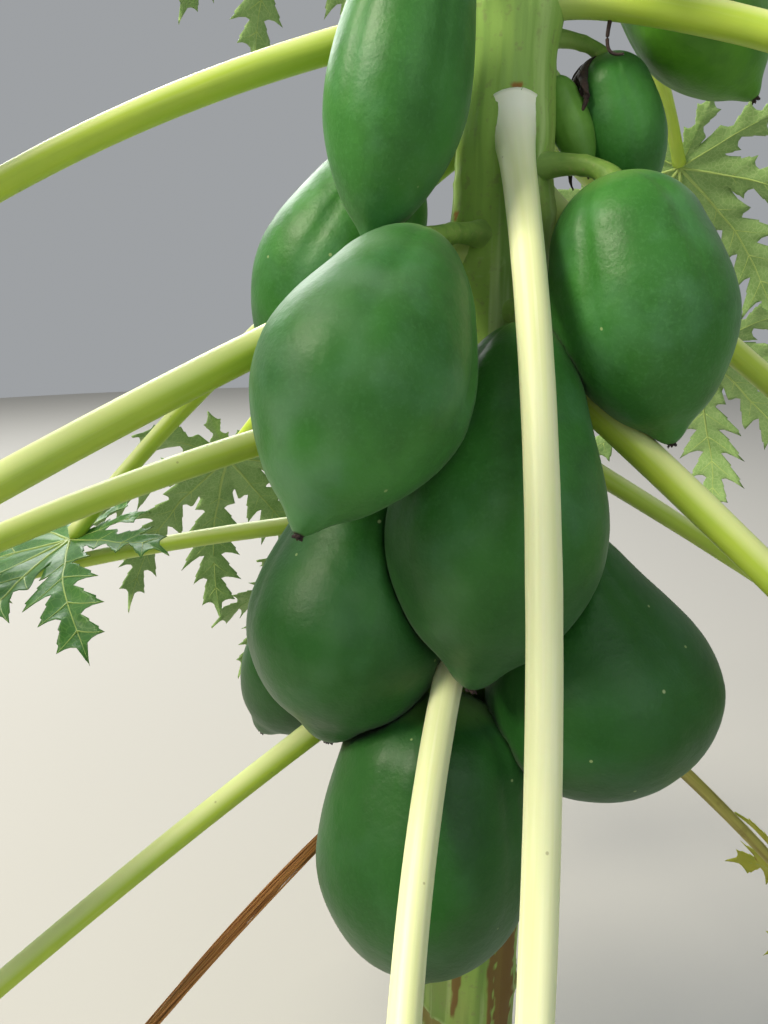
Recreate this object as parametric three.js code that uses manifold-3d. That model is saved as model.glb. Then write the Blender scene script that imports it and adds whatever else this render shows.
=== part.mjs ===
// A fruiting dwarf papaya: one soft green trunk, a column of hanging fruit in the lower leaf axils, and a
// crown of long-stalked leaves. Millimetres, +Z up, the flat cut under the trunk at the origin. Bearings are
// degrees round the trunk from +X towards +Y, so 270 faces -Y.
import * as THREE from "three";
import { mergeVertices } from "three/addons/utils/BufferGeometryUtils.js";
import Module from "manifold-3d";

const wasm = await Module();
wasm.setup();

// Trunk
const TRUNK_HEIGHT = 1930;
const TRUNK_BASE_RADIUS = 54;
const TRUNK_TIP_RADIUS = 19;
const TRUNK_TAPER_POWER = 2.6; // stays stout through the fruit and draws in under the bud
const TRUNK_LEAN = 0.0095; // sideways drift for each millimetre of height
const ROOT_FLARE = 26;
const ROOT_FLARE_HEIGHT = 60;
const FLARE_RIBS = 5;
const FLARE_RIB_DEPTH = 0.12; // against the trunk's radius
const TRUNK_SIDES = 15;
const TRUNK_RINGS = 16;
const RING_CROWDING = 1.5; // rings lie closer together in the root flare

// Fits and facets
const GAP = 0.3; // between pieces that meet
const CUT_CLEARANCE = 0.5; // left round a piece that dents its neighbour
const BLADE_CLEARANCE = 1.5; // a grown blade's corners are not a true offset, so it gets more
const ROOT_SINK = 0.55; // a stalk's axis starts this share of the trunk's radius from its centre
const STALK_SIDES = 7;
const STALK_STEPS = 6;
const PEDUNCLE_SIDES = 5;
const PEDUNCLE_STEPS = 3;
const FRUIT_FACETS = { sides: 11, rings: 9 };
const YOUNG_FRUIT_FACETS = { sides: 7, rings: 6 };
const CUTTER = 12; // side of the block that trims a stalk, against the stalk's thickness
const WELD = 1e-3; // corners closer than this are one corner

// Stalks
const STALK_FLARE = 0.75; // extra thickness where a stalk clasps the trunk
const STALK_FLARE_LENGTH = 26;
const STALK_TIP = 0.7; // thickness at the blade, against the root
const PEDUNCLE_RADIUS = 8; // on a fruit of the full width
const FULL_FRUIT_WIDTH = 168;
const PEDUNCLE_SINK = 8;
const PEDUNCLE_ROOT = 1.15; // thickness at the trunk, against the fruit's end
const PEDUNCLE_DROP = 0.18; // how far it starts above the stem end of a plumb fruit, against its reach
const PEDUNCLE_ARCH = 0.27; // how high it rises over the stem end of a plumb fruit, against its reach
const PEDUNCLE_LEAN = 45; // lean in degrees of a fruit whose stalk no longer arches

// Fruit outlines
const SHOULDER = 0.2; // share of the length in which the stem end rounds out to the neck

// Blades: pointed lobes round the hub, each cut in between its leaflets
const BLADE_THICKNESS = 5;
const LOBE_EDGE = [[0.42, 0.09], [0.6, 0.165], [0.69, 0.085]]; // along and aside, against the lobe's length
const SINUS = 0.3; // how far out the notch between two lobes lies
const STALK_SINUS = 0.05; // the notch over the stalk
const BLADE_RISE = -4; // slope where a blade starts to bend down, beyond its notches
const BLADE_FALL = -50; // and at the tip of its longest lobe
const FULL_LOBES = {
  angles: [-120, -76, -37, 0, 37, 76, 120],
  lengths: [0.56, 0.78, 0.94, 1, 0.94, 0.78, 0.56],
};
const YOUNG_LOBES = { angles: [-104, -50, 0, 50, 104], lengths: [0.62, 0.88, 1, 0.88, 0.62] };

// Finishes
const BARK = finish(0x6f8f45, 0.62);
const STALK = finish(0xb5c96b, 0.42);
const DRY_STALK = finish(0x8a5a33, 0.85);
const LEAF = finish(0x3f7a2c, 0.5);
const YOUNG_LEAF = finish(0x6fa83a, 0.5);
const RIND = finish(0x2f6b3a, 0.38);

// The bud at the tip
const BUD = { height: 84, width: 44, sides: 8 };

// Leaves of the fruiting zone: the height of the node, its bearing, the stalk's slope at the trunk and at the
// blade, its length, how far it swings round on the way, its thickness, the blade's central lobe and the
// blade's slope.
const LEAVES = [
  leaf("01", 1498, 185, -10, -44, 720, 6, 26, 330, -54),
  leaf("02", 1325, 203, -21, -25, 780, 14, 29, 340, -52),
  leaf("03", 1206, 193, -9, -22, 600, 13, 25, 310, -50),
  leaf("04", 1420, 140, -33, -54, 540, 33, 22, 250, -20),
  leaf("05", 1095, 178, -4, -22, 600, -6, 18, 240, -40),
  leaf("06", 986, 202, -28, -31, 700, 5, 23, 310, -48),
  leaf("07", 1421, 274, -49, -56, 760, -9, 26, 340, -84),
  leaf("08", 1058, 249, -32, -40, 720, 13, 26, 310, -76),
  leaf("09", 1250, 319, -34, -44, 680, 3, 28, 330, -62),
  leaf("10", 1172, 10, -30, -36, 560, -6, 20, 270, -50),
  leaf("11", 1363, 3, -31, -47, 660, 0, 25, 320, -60),
  leaf("12", 1510, 342, -9, -48, 700, -4, 27, 340, -66),
  leaf("13", 984, 5, -40, -50, 520, 0, 16, 240, -60),
  leaf("14", 1512, 212, 46, -12, 720, 14, 22, 320, -44),
];

// Leaves behind the fruit, made in one piece with their stalks.
const BACK_LEAVES = [
  leaf("15", 1440, 55, -12, -30, 680, 0, 27, 320, -54),
  leaf("16", 1330, 122, -18, -34, 700, 0, 27, 330, -56),
  leaf("17", 1184, 84, -24, -36, 640, 0, 24, 300, -56),
  leaf("18", 1126, 108, -20, -36, 640, 0, 22, 280, -54),
];

// The crown above them follows one spiral, from spreading leaves to upright ones round the bud. The pairs
// are sizes at its lowest and highest leaf.
const CROWN = {
  count: 11,
  crowding: 0.8, // nodes close up towards the bud
  height: [1560, 1905],
  firstBearing: 60,
  divergence: 137.5,
  rise: [16, 80],
  fall: [-34, 56],
  length: [690, 290],
  thick: [25, 10],
  lobe: [340, 190],
  pitch: [-56, 16],
};

const DEAD_LEAF_STALK = leaf("dry", 892, 204, -32, -42, 560, 6, 11, 0, 0);

// Fruit: the bearing, reach and height of its stem end, how far it leans from plumb and towards which
// bearing, its length and width, the neck's width against the belly's, where along it the belly lies, and the
// power that shapes its tip.
const FRUITS = [
  fruit("01", 229, 106, 1526, 12, 207, 213, 102, 0.75, 0.5, 0.8),
  fruit("02", 178, 86, 1399, 29, 184, 216, 132, 0.65, 0.52, 0.75),
  fruit("03", 238, 124, 1328, 36, 231, 236, 153, 0.56, 0.52, 0.86),
  fruit("04", 283, 71, 1266, 21, 243, 286, 168, 0.5, 0.58, 0.7),
  fruit("05", 319, 95, 1373, 18, 326, 208, 137, 0.72, 0.5, 0.75),
  fruit("06", 13, 81, 1473, 18, 353, 125, 72, 0.8, 0.5, 0.75),
  fruit("07", 22, 105, 1572, 39, 344, 173, 101, 0.75, 0.52, 0.75),
  fruit("08", 202, 108, 1142, 21, 240, 232, 172, 0.62, 0.58, 0.62),
  fruit("09", 163, 106, 1039, 33, 186, 217, 122, 0.55, 0.6, 0.65),
  fruit("10", 242, 100, 960, 14, 252, 254, 188, 0.78, 0.55, 0.62),
  fruit("11", 299, 78, 1112, 20, 338, 260, 198, 0.38, 0.64, 0.62),
  fruit("12", 78, 84, 1352, 22, 78, 225, 138, 0.7, 0.52, 0.75),
  fruit("13", 62, 90, 1200, 20, 85, 240, 130, 0.55, 0.58, 0.68),
  fruit("14", 118, 92, 1060, 18, 114, 245, 150, 0.5, 0.6, 0.65),
];

// Young fruit are part of the trunk's piece, smaller towards the bud.
const YOUNG_FRUITS = [
  fruit("young_1", 10, 38, 1454, 24, 340, 84, 33, 0.8, 0.5, 0.8),
  fruit("young_2", 288, 66, 1640, 26, 290, 104, 52, 0.75, 0.5, 0.8),
  fruit("young_3", 150, 60, 1678, 30, 150, 92, 46, 0.75, 0.5, 0.8),
  fruit("young_4", 70, 54, 1722, 34, 72, 78, 38, 0.8, 0.5, 0.8),
  fruit("young_5", 212, 50, 1764, 38, 214, 66, 31, 0.8, 0.5, 0.8),
];

function leaf(id, height, bearing, rise, fall, length, swing, thick, lobe, pitch) {
  return { id, height, bearing, rise, fall, length, swing, thick, lobe, pitch };
}

function fruit(id, bearing, reach, height, lean, towards, length, width, neck, belly, blunt) {
  return { id, bearing, reach, height, lean, towards, length, width, neck, belly, blunt };
}

function finish(color, roughness) {
  return new THREE.MeshStandardMaterial({ color, roughness, metalness: 0 });
}

const radians = THREE.MathUtils.degToRad;
const mix = THREE.MathUtils.lerp;

function frameAt(position, quaternion) {
  return new THREE.Matrix4().compose(position, quaternion, new THREE.Vector3(1, 1, 1));
}

function trunkAxis(height) {
  return new THREE.Vector3(TRUNK_LEAN * height, 0, height);
}

function trunkRadius(height) {
  const taper = (TRUNK_BASE_RADIUS - TRUNK_TIP_RADIUS) * (height / TRUNK_HEIGHT) ** TRUNK_TAPER_POWER;
  return TRUNK_BASE_RADIUS - taper + ROOT_FLARE * Math.exp(-height / ROOT_FLARE_HEIGHT);
}

// A point at a bearing and reach from the trunk's centre line.
function around(bearing, reach, height) {
  const angle = radians(bearing);
  return trunkAxis(height).add(new THREE.Vector3(Math.cos(angle) * reach, Math.sin(angle) * reach, 0));
}

// Horizontal run and rise of an arc whose slope goes evenly from one angle to another, at a share of its
// length.
function arc(length, fromDegrees, toDegrees, share) {
  const from = radians(fromDegrees);
  const turn = radians(toDegrees) - from;
  const here = from + turn * share;
  const radius = length / turn;
  return {
    run: radius * (Math.sin(here) - Math.sin(from)),
    rise: radius * (Math.cos(from) - Math.cos(here)),
  };
}

// The centre line of a leaf stalk, from inside the trunk to its cut end.
class StalkPath extends THREE.Curve {
  constructor(spec) {
    super();
    this.spec = spec;
  }

  getPoint(share, target = new THREE.Vector3()) {
    const { height, bearing, rise, fall, length, swing } = this.spec;
    const start = trunkRadius(height) * ROOT_SINK;
    const step = arc(length, rise, fall, share);
    const angle = radians(bearing + swing * share);
    const reach = start + step.run;
    const centre = trunkAxis(height);
    return target.set(centre.x + reach * Math.cos(angle), reach * Math.sin(angle), height + step.rise);
  }
}

// A round solid that follows a curve, with its radius given along it.
function limb(path, radiusAt, sides, steps) {
  const geometry = new THREE.CylinderGeometry(1, 1, 1, sides, steps);
  const place = geometry.getAttribute("position");
  const side = new THREE.Vector3();
  const top = new THREE.Vector3();
  for (let i = 0; i < place.count; i++) {
    const share = THREE.MathUtils.clamp(0.5 - place.getY(i), 0, 1);
    const along = path.getTangentAt(share);
    side.set(-along.y, along.x, 0).normalize();
    if (side.lengthSq() < 0.5) side.set(1, 0, 0);
    top.crossVectors(along, side);
    const radius = radiusAt(share);
    const point = path.getPointAt(share);
    point.addScaledVector(side, place.getX(i) * radius);
    point.addScaledVector(top, place.getZ(i) * radius);
    place.setXYZ(i, point.x, point.y, point.z);
  }
  return geometry;
}

function stalkRadius(spec, grow = 0) {
  return (share) => {
    const flare = STALK_FLARE * Math.exp((-share * spec.length) / STALK_FLARE_LENGTH);
    return (spec.thick / 2) * (mix(1, STALK_TIP, share) + flare) + grow;
  };
}

// Width of a fruit's outline: a round shoulder, a neck that swells to the belly, and a tapering tip.
function fruitRadius({ width, neck, belly, blunt }, share) {
  const shoulder = Math.sqrt(1 - (1 - Math.min(share / SHOULDER, 1)) ** 2);
  const swell = Math.sin((Math.PI / 2) * Math.min(share / belly, 1)) ** 2;
  const close = Math.cos((Math.PI / 2) * Math.max((share - belly) / (1 - belly), 0)) ** blunt;
  return (width / 2) * shoulder * (neck + (1 - neck) * swell) * close;
}

function fruitGeometry(spec, facets, grow = 0) {
  const profile = [];
  for (let i = 0; i <= facets.rings; i++) {
    const share = (1 - Math.cos((Math.PI * i) / facets.rings)) / 2;
    const edge = i === 0 || i === facets.rings;
    const down = -share * spec.length + (edge ? grow * Math.sign(0.5 - share) : 0);
    profile.push(new THREE.Vector2(edge ? 0 : fruitRadius(spec, share) + grow, down));
  }
  return new THREE.LatheGeometry(profile.reverse(), facets.sides);
}

// Turns a fruit from hanging down its own -Y to hanging down the lean it has on the tree.
function fruitPlacement(spec) {
  const lean = radians(spec.lean);
  const towards = radians(spec.towards);
  const aside = Math.sin(lean);
  const down = new THREE.Vector3(aside * Math.cos(towards), aside * Math.sin(towards), -Math.cos(lean));
  return {
    down,
    stem: around(spec.bearing, spec.reach, spec.height),
    turn: new THREE.Quaternion().setFromUnitVectors(new THREE.Vector3(0, -1, 0), down),
  };
}

// The short arched stalk from the trunk to a fruit's stem end, thinner on a smaller fruit.
function peduncle(spec, grow) {
  const { stem, down } = fruitPlacement(spec);
  const radius = PEDUNCLE_RADIUS * Math.sqrt(spec.width / FULL_FRUIT_WIDTH) + grow;
  const arched = spec.reach * (1 - spec.lean / PEDUNCLE_LEAN);
  const rootHeight = spec.height + arched * PEDUNCLE_DROP;
  const root = around(spec.bearing, trunkRadius(rootHeight) * ROOT_SINK, rootHeight);
  const crest = stem.clone().addScaledVector(down, -arched * PEDUNCLE_ARCH);
  const end = stem.clone().addScaledVector(down, PEDUNCLE_SINK);
  const path = new THREE.QuadraticBezierCurve3(root, crest, end);
  return limb(path, (share) => radius * mix(PEDUNCLE_ROOT, 1, share), PEDUNCLE_SIDES, PEDUNCLE_STEPS);
}

// The flat outline of a blade round its hub: pointed lobes, each cut in between its leaflets.
function bladeOutline(length, lobes, grow) {
  const points = [];
  const add = (angle, along, aside) => {
    const turn = radians(angle);
    points.push(new THREE.Vector2(
      along * Math.cos(turn) - aside * Math.sin(turn),
      along * Math.sin(turn) + aside * Math.cos(turn),
    ));
  };
  lobes.angles.forEach((angle, i) => {
    const size = length * lobes.lengths[i];
    for (const [along, aside] of LOBE_EDGE) add(angle, along * size, -aside * size - grow);
    add(angle, size + grow, 0);
    for (const [along, aside] of LOBE_EDGE.toReversed()) add(angle, along * size, aside * size + grow);
    if (i + 1 === lobes.angles.length) return;
    const between = (lobes.lengths[i] + lobes.lengths[i + 1]) / 2;
    add((angle + lobes.angles[i + 1]) / 2, SINUS * length * between + grow, 0);
  });
  add(180, STALK_SINUS * length + grow, 0);
  return new THREE.Shape(points);
}

// The blade as a thin plate, flat as far as the notches and bent down all round beyond them.
function bladeGeometry(length, lobes, grow = 0) {
  const depth = BLADE_THICKNESS + 2 * grow;
  const outline = bladeOutline(length, lobes, grow);
  const geometry = new THREE.ExtrudeGeometry(outline, { depth, bevelEnabled: false });
  const place = geometry.getAttribute("position");
  const flat = SINUS * length;
  for (let i = 0; i < place.count; i++) {
    const out = Math.hypot(place.getX(i), place.getY(i));
    const share = Math.max(out - flat, 0) / (length - flat);
    const { run, rise } = arc(length - flat, BLADE_RISE, BLADE_FALL, share);
    const shrink = (Math.min(out, flat) + run) / out;
    place.setXYZ(i, place.getX(i) * shrink, place.getY(i) * shrink, place.getZ(i) - depth / 2 + rise);
  }
  return geometry;
}

// Where a blade sits: its hub at the end of its stalk, facing the way the stalk points, at its own slope.
function bladePlacement(spec) {
  const path = new StalkPath(spec);
  const hub = path.getPointAt(1);
  const along = path.getTangentAt(1);
  const turn = new THREE.Quaternion()
    .setFromAxisAngle(new THREE.Vector3(0, 0, 1), Math.atan2(along.y, along.x))
    .multiply(new THREE.Quaternion().setFromAxisAngle(new THREE.Vector3(0, 1, 0), -radians(spec.pitch)));
  return { hub, along, turn };
}

// A solid of a geometry at a place, for cutting and joining.
function solidOf(geometry, matrix = new THREE.Matrix4()) {
  const bare = geometry.clone().applyMatrix4(matrix);
  bare.deleteAttribute("normal");
  bare.deleteAttribute("uv");
  const merged = mergeVertices(bare, WELD);
  const corners = merged.index.array;
  const triangles = [];
  for (let i = 0; i < corners.length; i += 3) {
    const [a, b, c] = [corners[i], corners[i + 1], corners[i + 2]];
    if (a !== b && b !== c && a !== c) triangles.push(a, b, c);
  }
  return new wasm.Manifold(
    new wasm.Mesh({
      numProp: 3,
      vertProperties: merged.getAttribute("position").array,
      triVerts: new Uint32Array(triangles),
    }),
  );
}

function geometryOf(solid) {
  const { vertProperties, triVerts } = solid.getMesh();
  const geometry = new THREE.BufferGeometry();
  geometry.setAttribute("position", new THREE.BufferAttribute(vertProperties, 3));
  geometry.setIndex(new THREE.BufferAttribute(triVerts, 1));
  return geometry;
}

// Cuts away what a solid shares with the space others fill, apart from one it is joined to, and keeps the
// largest piece.
function clearOf(solid, taken, joined = "") {
  let kept = solid;
  for (const [name, other] of taken) {
    if (name !== joined && kept.intersect(other).volume() > 0) kept = kept.subtract(other);
  }
  const pieces = kept.decompose();
  return pieces.reduce((best, piece) => (piece.volume() > best.volume() ? piece : best));
}

// A named mesh whose own frame is at a place on the tree, made from a solid in the tree's frame.
function pieceAt(name, solid, material, position, quaternion = new THREE.Quaternion()) {
  const intoPiece = frameAt(position, quaternion).invert();
  const mesh = new THREE.Mesh(geometryOf(solid).applyMatrix4(intoPiece), material);
  mesh.name = name;
  mesh.position.copy(position);
  mesh.quaternion.copy(quaternion);
  return mesh;
}

function trunkSolid(grow = 0) {
  const path = new THREE.LineCurve3(trunkAxis(0), trunkAxis(TRUNK_HEIGHT));
  const geometry = new THREE.CylinderGeometry(1, 1, 1, TRUNK_SIDES, TRUNK_RINGS);
  const place = geometry.getAttribute("position");
  for (let i = 0; i < place.count; i++) {
    const share = (place.getY(i) + 0.5) ** RING_CROWDING;
    const height = share * TRUNK_HEIGHT;
    const angle = Math.atan2(place.getZ(i), place.getX(i));
    const rib = 1 + FLARE_RIB_DEPTH * Math.exp(-height / ROOT_FLARE_HEIGHT) * Math.cos(FLARE_RIBS * angle);
    const radius = (trunkRadius(height) * rib + grow) * Math.hypot(place.getX(i), place.getZ(i));
    const centre = path.getPoint(share);
    place.setXYZ(i, centre.x + radius * Math.cos(angle), centre.y - radius * Math.sin(angle), centre.z);
  }
  return solidOf(geometry);
}

function fruitSolid(spec, grow = 0, facets = FRUIT_FACETS) {
  const { stem, turn } = fruitPlacement(spec);
  return solidOf(fruitGeometry(spec, facets, grow), frameAt(stem, turn)).add(solidOf(peduncle(spec, grow)));
}

function stalkSolid(spec, grow = 0) {
  return solidOf(limb(new StalkPath(spec), stalkRadius(spec, grow), STALK_SIDES, STALK_STEPS));
}

function bladeSolid(spec, lobes, grow = 0) {
  const { hub, turn } = bladePlacement(spec);
  return solidOf(bladeGeometry(spec.lobe, lobes, grow), frameAt(hub, turn));
}

// A stalk whose end is cut along its blade, at a distance short of the blade's middle.
function trimmedStalk(spec, short) {
  const { hub, along, turn } = bladePlacement(spec);
  const face = new THREE.Vector3(0, 0, 1).applyQuaternion(turn);
  const side = Math.sign(face.dot(along));
  const size = spec.thick * CUTTER;
  const centre = hub.clone().addScaledVector(face, side * (size / 2 - short));
  return stalkSolid(spec).subtract(solidOf(new THREE.BoxGeometry(size, size, size), frameAt(centre, turn)));
}

// Leaves of the spiral crown, worked out from its driving sizes.
function crownLeaves() {
  return Array.from({ length: CROWN.count }, (_, i) => {
    const share = i / (CROWN.count - 1);
    return leaf(
      String(LEAVES.length + BACK_LEAVES.length + i + 1),
      mix(...CROWN.height, share ** CROWN.crowding),
      CROWN.firstBearing + CROWN.divergence * i,
      mix(...CROWN.rise, share),
      mix(...CROWN.fall, share),
      mix(...CROWN.length, share),
      0,
      mix(...CROWN.thick, share),
      mix(...CROWN.lobe, share),
      mix(...CROWN.pitch, share),
    );
  });
}

// The folded leaves and flower buds at the very tip, as one pointed bud.
function budGeometry() {
  const { height, width } = BUD;
  const shares = [[0, 0], [0.5, 0], [0.62, 0.12], [0.9, 0.4], [0.6, 0.7], [0.2, 0.92], [0, 1]];
  const profile = shares.map(([across, up]) => new THREE.Vector2((across * width) / 2, up * height));
  return new THREE.LatheGeometry(profile, BUD.sides).rotateX(Math.PI / 2);
}

const tree = new THREE.Group();
const fruitColumn = new THREE.Group();
const foliage = new THREE.Group();
tree.add(fruitColumn, foliage);

const youngFruits = YOUNG_FRUITS.map((spec) => fruitSolid(spec, 0, YOUNG_FRUIT_FACETS));
const trunk = youngFruits.reduce((whole, young) => whole.add(young), trunkSolid());
tree.add(pieceAt("trunk", trunk, BARK, new THREE.Vector3()));

const bud = new THREE.Mesh(budGeometry(), YOUNG_LEAF);
bud.name = "crown_bud";
bud.position.copy(trunkAxis(TRUNK_HEIGHT)).z += GAP;
bud.updateMatrix();
foliage.add(bud);

// Space that is already filled, by the piece that fills it; later pieces are cut clear of it.
const taken = new Map([["trunk", trunkSolid(GAP)], ["crown_bud", solidOf(bud.geometry, bud.matrix)]]);
for (const spec of YOUNG_FRUITS) taken.set(spec.id, fruitSolid(spec, CUT_CLEARANCE, YOUNG_FRUIT_FACETS));

for (const spec of LEAVES) {
  const name = "petiole_" + spec.id;
  const solid = clearOf(trimmedStalk(spec, BLADE_THICKNESS / 2 + GAP), taken);
  taken.set(name, stalkSolid(spec, CUT_CLEARANCE));
  foliage.add(pieceAt(name, solid, STALK, trunkAxis(spec.height)));
}

const deadStalk = clearOf(stalkSolid(DEAD_LEAF_STALK), taken);
taken.set("dry_petiole", stalkSolid(DEAD_LEAF_STALK, CUT_CLEARANCE));
foliage.add(pieceAt("dry_petiole", deadStalk, DRY_STALK, trunkAxis(DEAD_LEAF_STALK.height)));

const wholeLeaves = [
  ...BACK_LEAVES.map((spec) => [spec, FULL_LOBES, LEAF]),
  ...crownLeaves().map((spec) => [spec, YOUNG_LOBES, YOUNG_LEAF]),
];
for (const [spec, lobes, material] of wholeLeaves) {
  const solid = clearOf(trimmedStalk(spec, 0).add(bladeSolid(spec, lobes)), taken);
  taken.set("stalk_of_leaf_" + spec.id, stalkSolid(spec, CUT_CLEARANCE));
  taken.set("blade_of_leaf_" + spec.id, bladeSolid(spec, lobes, BLADE_CLEARANCE));
  foliage.add(pieceAt("leaf_" + spec.id, solid, material, trunkAxis(spec.height)));
}

for (const spec of LEAVES) {
  const name = "blade_" + spec.id;
  const { hub, turn } = bladePlacement(spec);
  const solid = clearOf(bladeSolid(spec, FULL_LOBES), taken, "petiole_" + spec.id);
  taken.set(name, bladeSolid(spec, FULL_LOBES, BLADE_CLEARANCE));
  foliage.add(pieceAt(name, solid, LEAF, hub, turn));
}

for (const spec of FRUITS) {
  const name = "fruit_" + spec.id;
  const { stem, turn } = fruitPlacement(spec);
  const solid = clearOf(fruitSolid(spec), taken);
  taken.set(name, fruitSolid(spec, CUT_CLEARANCE));
  fruitColumn.add(pieceAt(name, solid, RIND, stem, turn));
}

export default tree;
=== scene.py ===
"""Looks of a fruiting papaya tree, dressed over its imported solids.

Everything on the tree is shaped in millimetres by the same growth rule as its solids and is turned to
metres as each piece is finished. Bearings are degrees round the trunk from +X towards +Y, so 270 faces the
camera. A share runs from 0 at a part's root to 1 at its tip.
"""

from __future__ import annotations

import logging
import math
import random
from dataclasses import dataclass, field
from enum import Enum
from functools import partial
from typing import Callable, Iterator, Sequence

import bmesh
import bpy
from mathutils import Matrix, Quaternion, Vector, kdtree, noise

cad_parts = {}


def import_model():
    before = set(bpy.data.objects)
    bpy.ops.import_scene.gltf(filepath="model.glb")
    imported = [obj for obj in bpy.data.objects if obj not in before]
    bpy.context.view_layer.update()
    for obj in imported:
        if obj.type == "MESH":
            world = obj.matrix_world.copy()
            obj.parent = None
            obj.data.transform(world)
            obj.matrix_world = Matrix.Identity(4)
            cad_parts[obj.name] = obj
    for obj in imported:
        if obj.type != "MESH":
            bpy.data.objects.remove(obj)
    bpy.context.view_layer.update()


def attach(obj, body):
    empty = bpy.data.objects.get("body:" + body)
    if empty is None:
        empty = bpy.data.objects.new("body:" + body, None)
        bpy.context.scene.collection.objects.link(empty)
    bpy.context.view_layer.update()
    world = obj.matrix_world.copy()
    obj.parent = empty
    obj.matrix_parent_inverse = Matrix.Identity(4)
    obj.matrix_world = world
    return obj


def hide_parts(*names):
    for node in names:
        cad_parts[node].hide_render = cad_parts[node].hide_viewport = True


LOG = logging.getLogger("papaya_tree")
MM = 0.001
BODY = "root"
WELD = 0.002  # corners closer than this many millimetres are one corner
SEAM = 0.05  # the same for the corners of neighbouring lobes of a blade

# Trunk, as its solid grows
TRUNK_HEIGHT = 1930.0
TRUNK_BASE_RADIUS = 54.0
TRUNK_TIP_RADIUS = 19.0
TRUNK_TAPER_POWER = 2.6
TRUNK_LEAN = 0.0095  # towards +X, against the height
ROOT_FLARE = 26.0
ROOT_FLARE_HEIGHT = 60.0
FLARE_RIBS = 5
FLARE_RIB_DEPTH = 0.12

# Stalks and blades, as their solids grow
ROOT_SINK = 0.55  # how far out a stalk starts, against the trunk's radius
STALK_TIP = 0.7  # a stalk's thickness at its blade, against that at its root
SINUS = 0.3  # how far from the hub the notch between two lobes lies, against their length
STALK_SINUS = 0.05  # the same for the gap behind the hub, against the blade's length
BLADE_RISE = -4.0  # slope at which a lobe leaves the webs, in degrees
BLADE_FALL = -50.0  # slope at its tip
SPIRAL = 137.5  # degrees from one leaf to the next

UP = Vector((0.0, 0.0, 1.0))

Sizes = Callable[[float, float], tuple[float, float]]  # a limb's half width and height, from share and angle
Radius = Callable[[float, float], float]  # a turned body's radius, from share and angle
Corners = list[bmesh.types.BMVert]
Table = tuple[tuple[float, float], ...]  # pairs of place and value, in order of place
Row = tuple[float, float, int]  # share of the way to a lobe's tip, fullness of the side lobe, and its number


def clamp(value: float, low: float = 0.0, high: float = 1.0) -> float:
    """Returns the value held between two limits."""
    return min(max(value, low), high)


def mix(first: float, last: float, share: float) -> float:
    """Returns the value at a share of the way from the first to the last."""
    return first + (last - first) * share


def ease(value: float) -> float:
    """Returns a smooth step from 0 to 1 over the values from 0 to 1."""
    held = clamp(value)
    return held * held * (3.0 - 2.0 * held)


def hump(away: float, width: float) -> float:
    """Returns 1 at no distance and falls off on both sides like a bell of that width."""
    return math.exp(-((away / width) ** 2))


def fade(away: float, length: float) -> float:
    """Returns 1 at no distance and falls off to about a third over each length."""
    return math.exp(-away / length)


def rough(x: float, y: float = 0.0, z: float = 0.0) -> float:
    """Returns smooth noise between -1 and 1 at a place."""
    return noise.noise(Vector((x, y, z)))


def taper(first: float, last: float, power: float = 1.0, size: float = 1.0) -> Sizes:
    """Returns the sizes of a round limb that thins from the first radius to the last."""
    return lambda share, _: (mix(first, last, share ** power) * size,) * 2


def between(table: Table, at: float) -> float:
    """Reads a value between the rows of a short table.

    Args:
        table: Pairs of place and value, in order of place.
        at: The place to read.

    Returns:
        The value there, held at the ends.
    """
    if at <= table[0][0]:
        return table[0][1]
    for (a, first), (b, last) in zip(table, table[1:]):
        if at <= b:
            return mix(first, last, (at - a) / (b - a))
    return table[-1][1]


def polar(angle: float, reach: float, height: float = 0.0) -> Vector:
    """Returns the point at an angle in radians and a reach from the Z axis."""
    return Vector((math.cos(angle) * reach, math.sin(angle) * reach, height))


def trunk_axis(height: float) -> Vector:
    """Returns the trunk's centre at a height."""
    return Vector((TRUNK_LEAN * height, 0.0, height))


def trunk_radius(height: float) -> float:
    """Returns the trunk's radius at a height, with its root flare."""
    thinned = (TRUNK_BASE_RADIUS - TRUNK_TIP_RADIUS) * (height / TRUNK_HEIGHT) ** TRUNK_TAPER_POWER
    return TRUNK_BASE_RADIUS - thinned + ROOT_FLARE * fade(height, ROOT_FLARE_HEIGHT)


def around(bearing: float, reach: float, height: float) -> Vector:
    """Returns the point at a bearing and reach from the trunk's centre line."""
    return trunk_axis(height) + polar(math.radians(bearing), reach)


def round_trunk(bearing: float, start: float, radius: float) -> float:
    """Returns how many millimetres round the trunk one bearing is from another."""
    # their stalks take the pale skin with painted sunlight
    return math.radians((bearing - start + 180.0) % 360.0 - 180.0) * radius


def arc(length: float, first: float, last: float, share: float) -> tuple[float, float]:
    """Follows an arc whose slope goes evenly from one angle to another.

    Args:
        length: Length of the whole arc.
        first: Slope at its start, in degrees.
        last: Slope at its end, in degrees.
        share: How much of the length is followed.

    Returns:
        The horizontal run and the rise.
    """
    start = math.radians(first)
    turn = math.radians(last) - start
    here = start + turn * share
    radius = length / turn
    return radius * (math.sin(here) - math.sin(start)), radius * (math.cos(start) - math.cos(here))


def linear(code: str) -> tuple[float, float, float, float]:
    """Turns an sRGB hex colour such as #aabbcc to linear colour with full alpha."""
    parts = [int(code[i:i + 2], 16) / 255.0 for i in (1, 3, 5)]
    return (*[p / 12.92 if p <= 0.04045 else ((p + 0.055) / 1.055) ** 2.4 for p in parts], 1.0)


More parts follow.
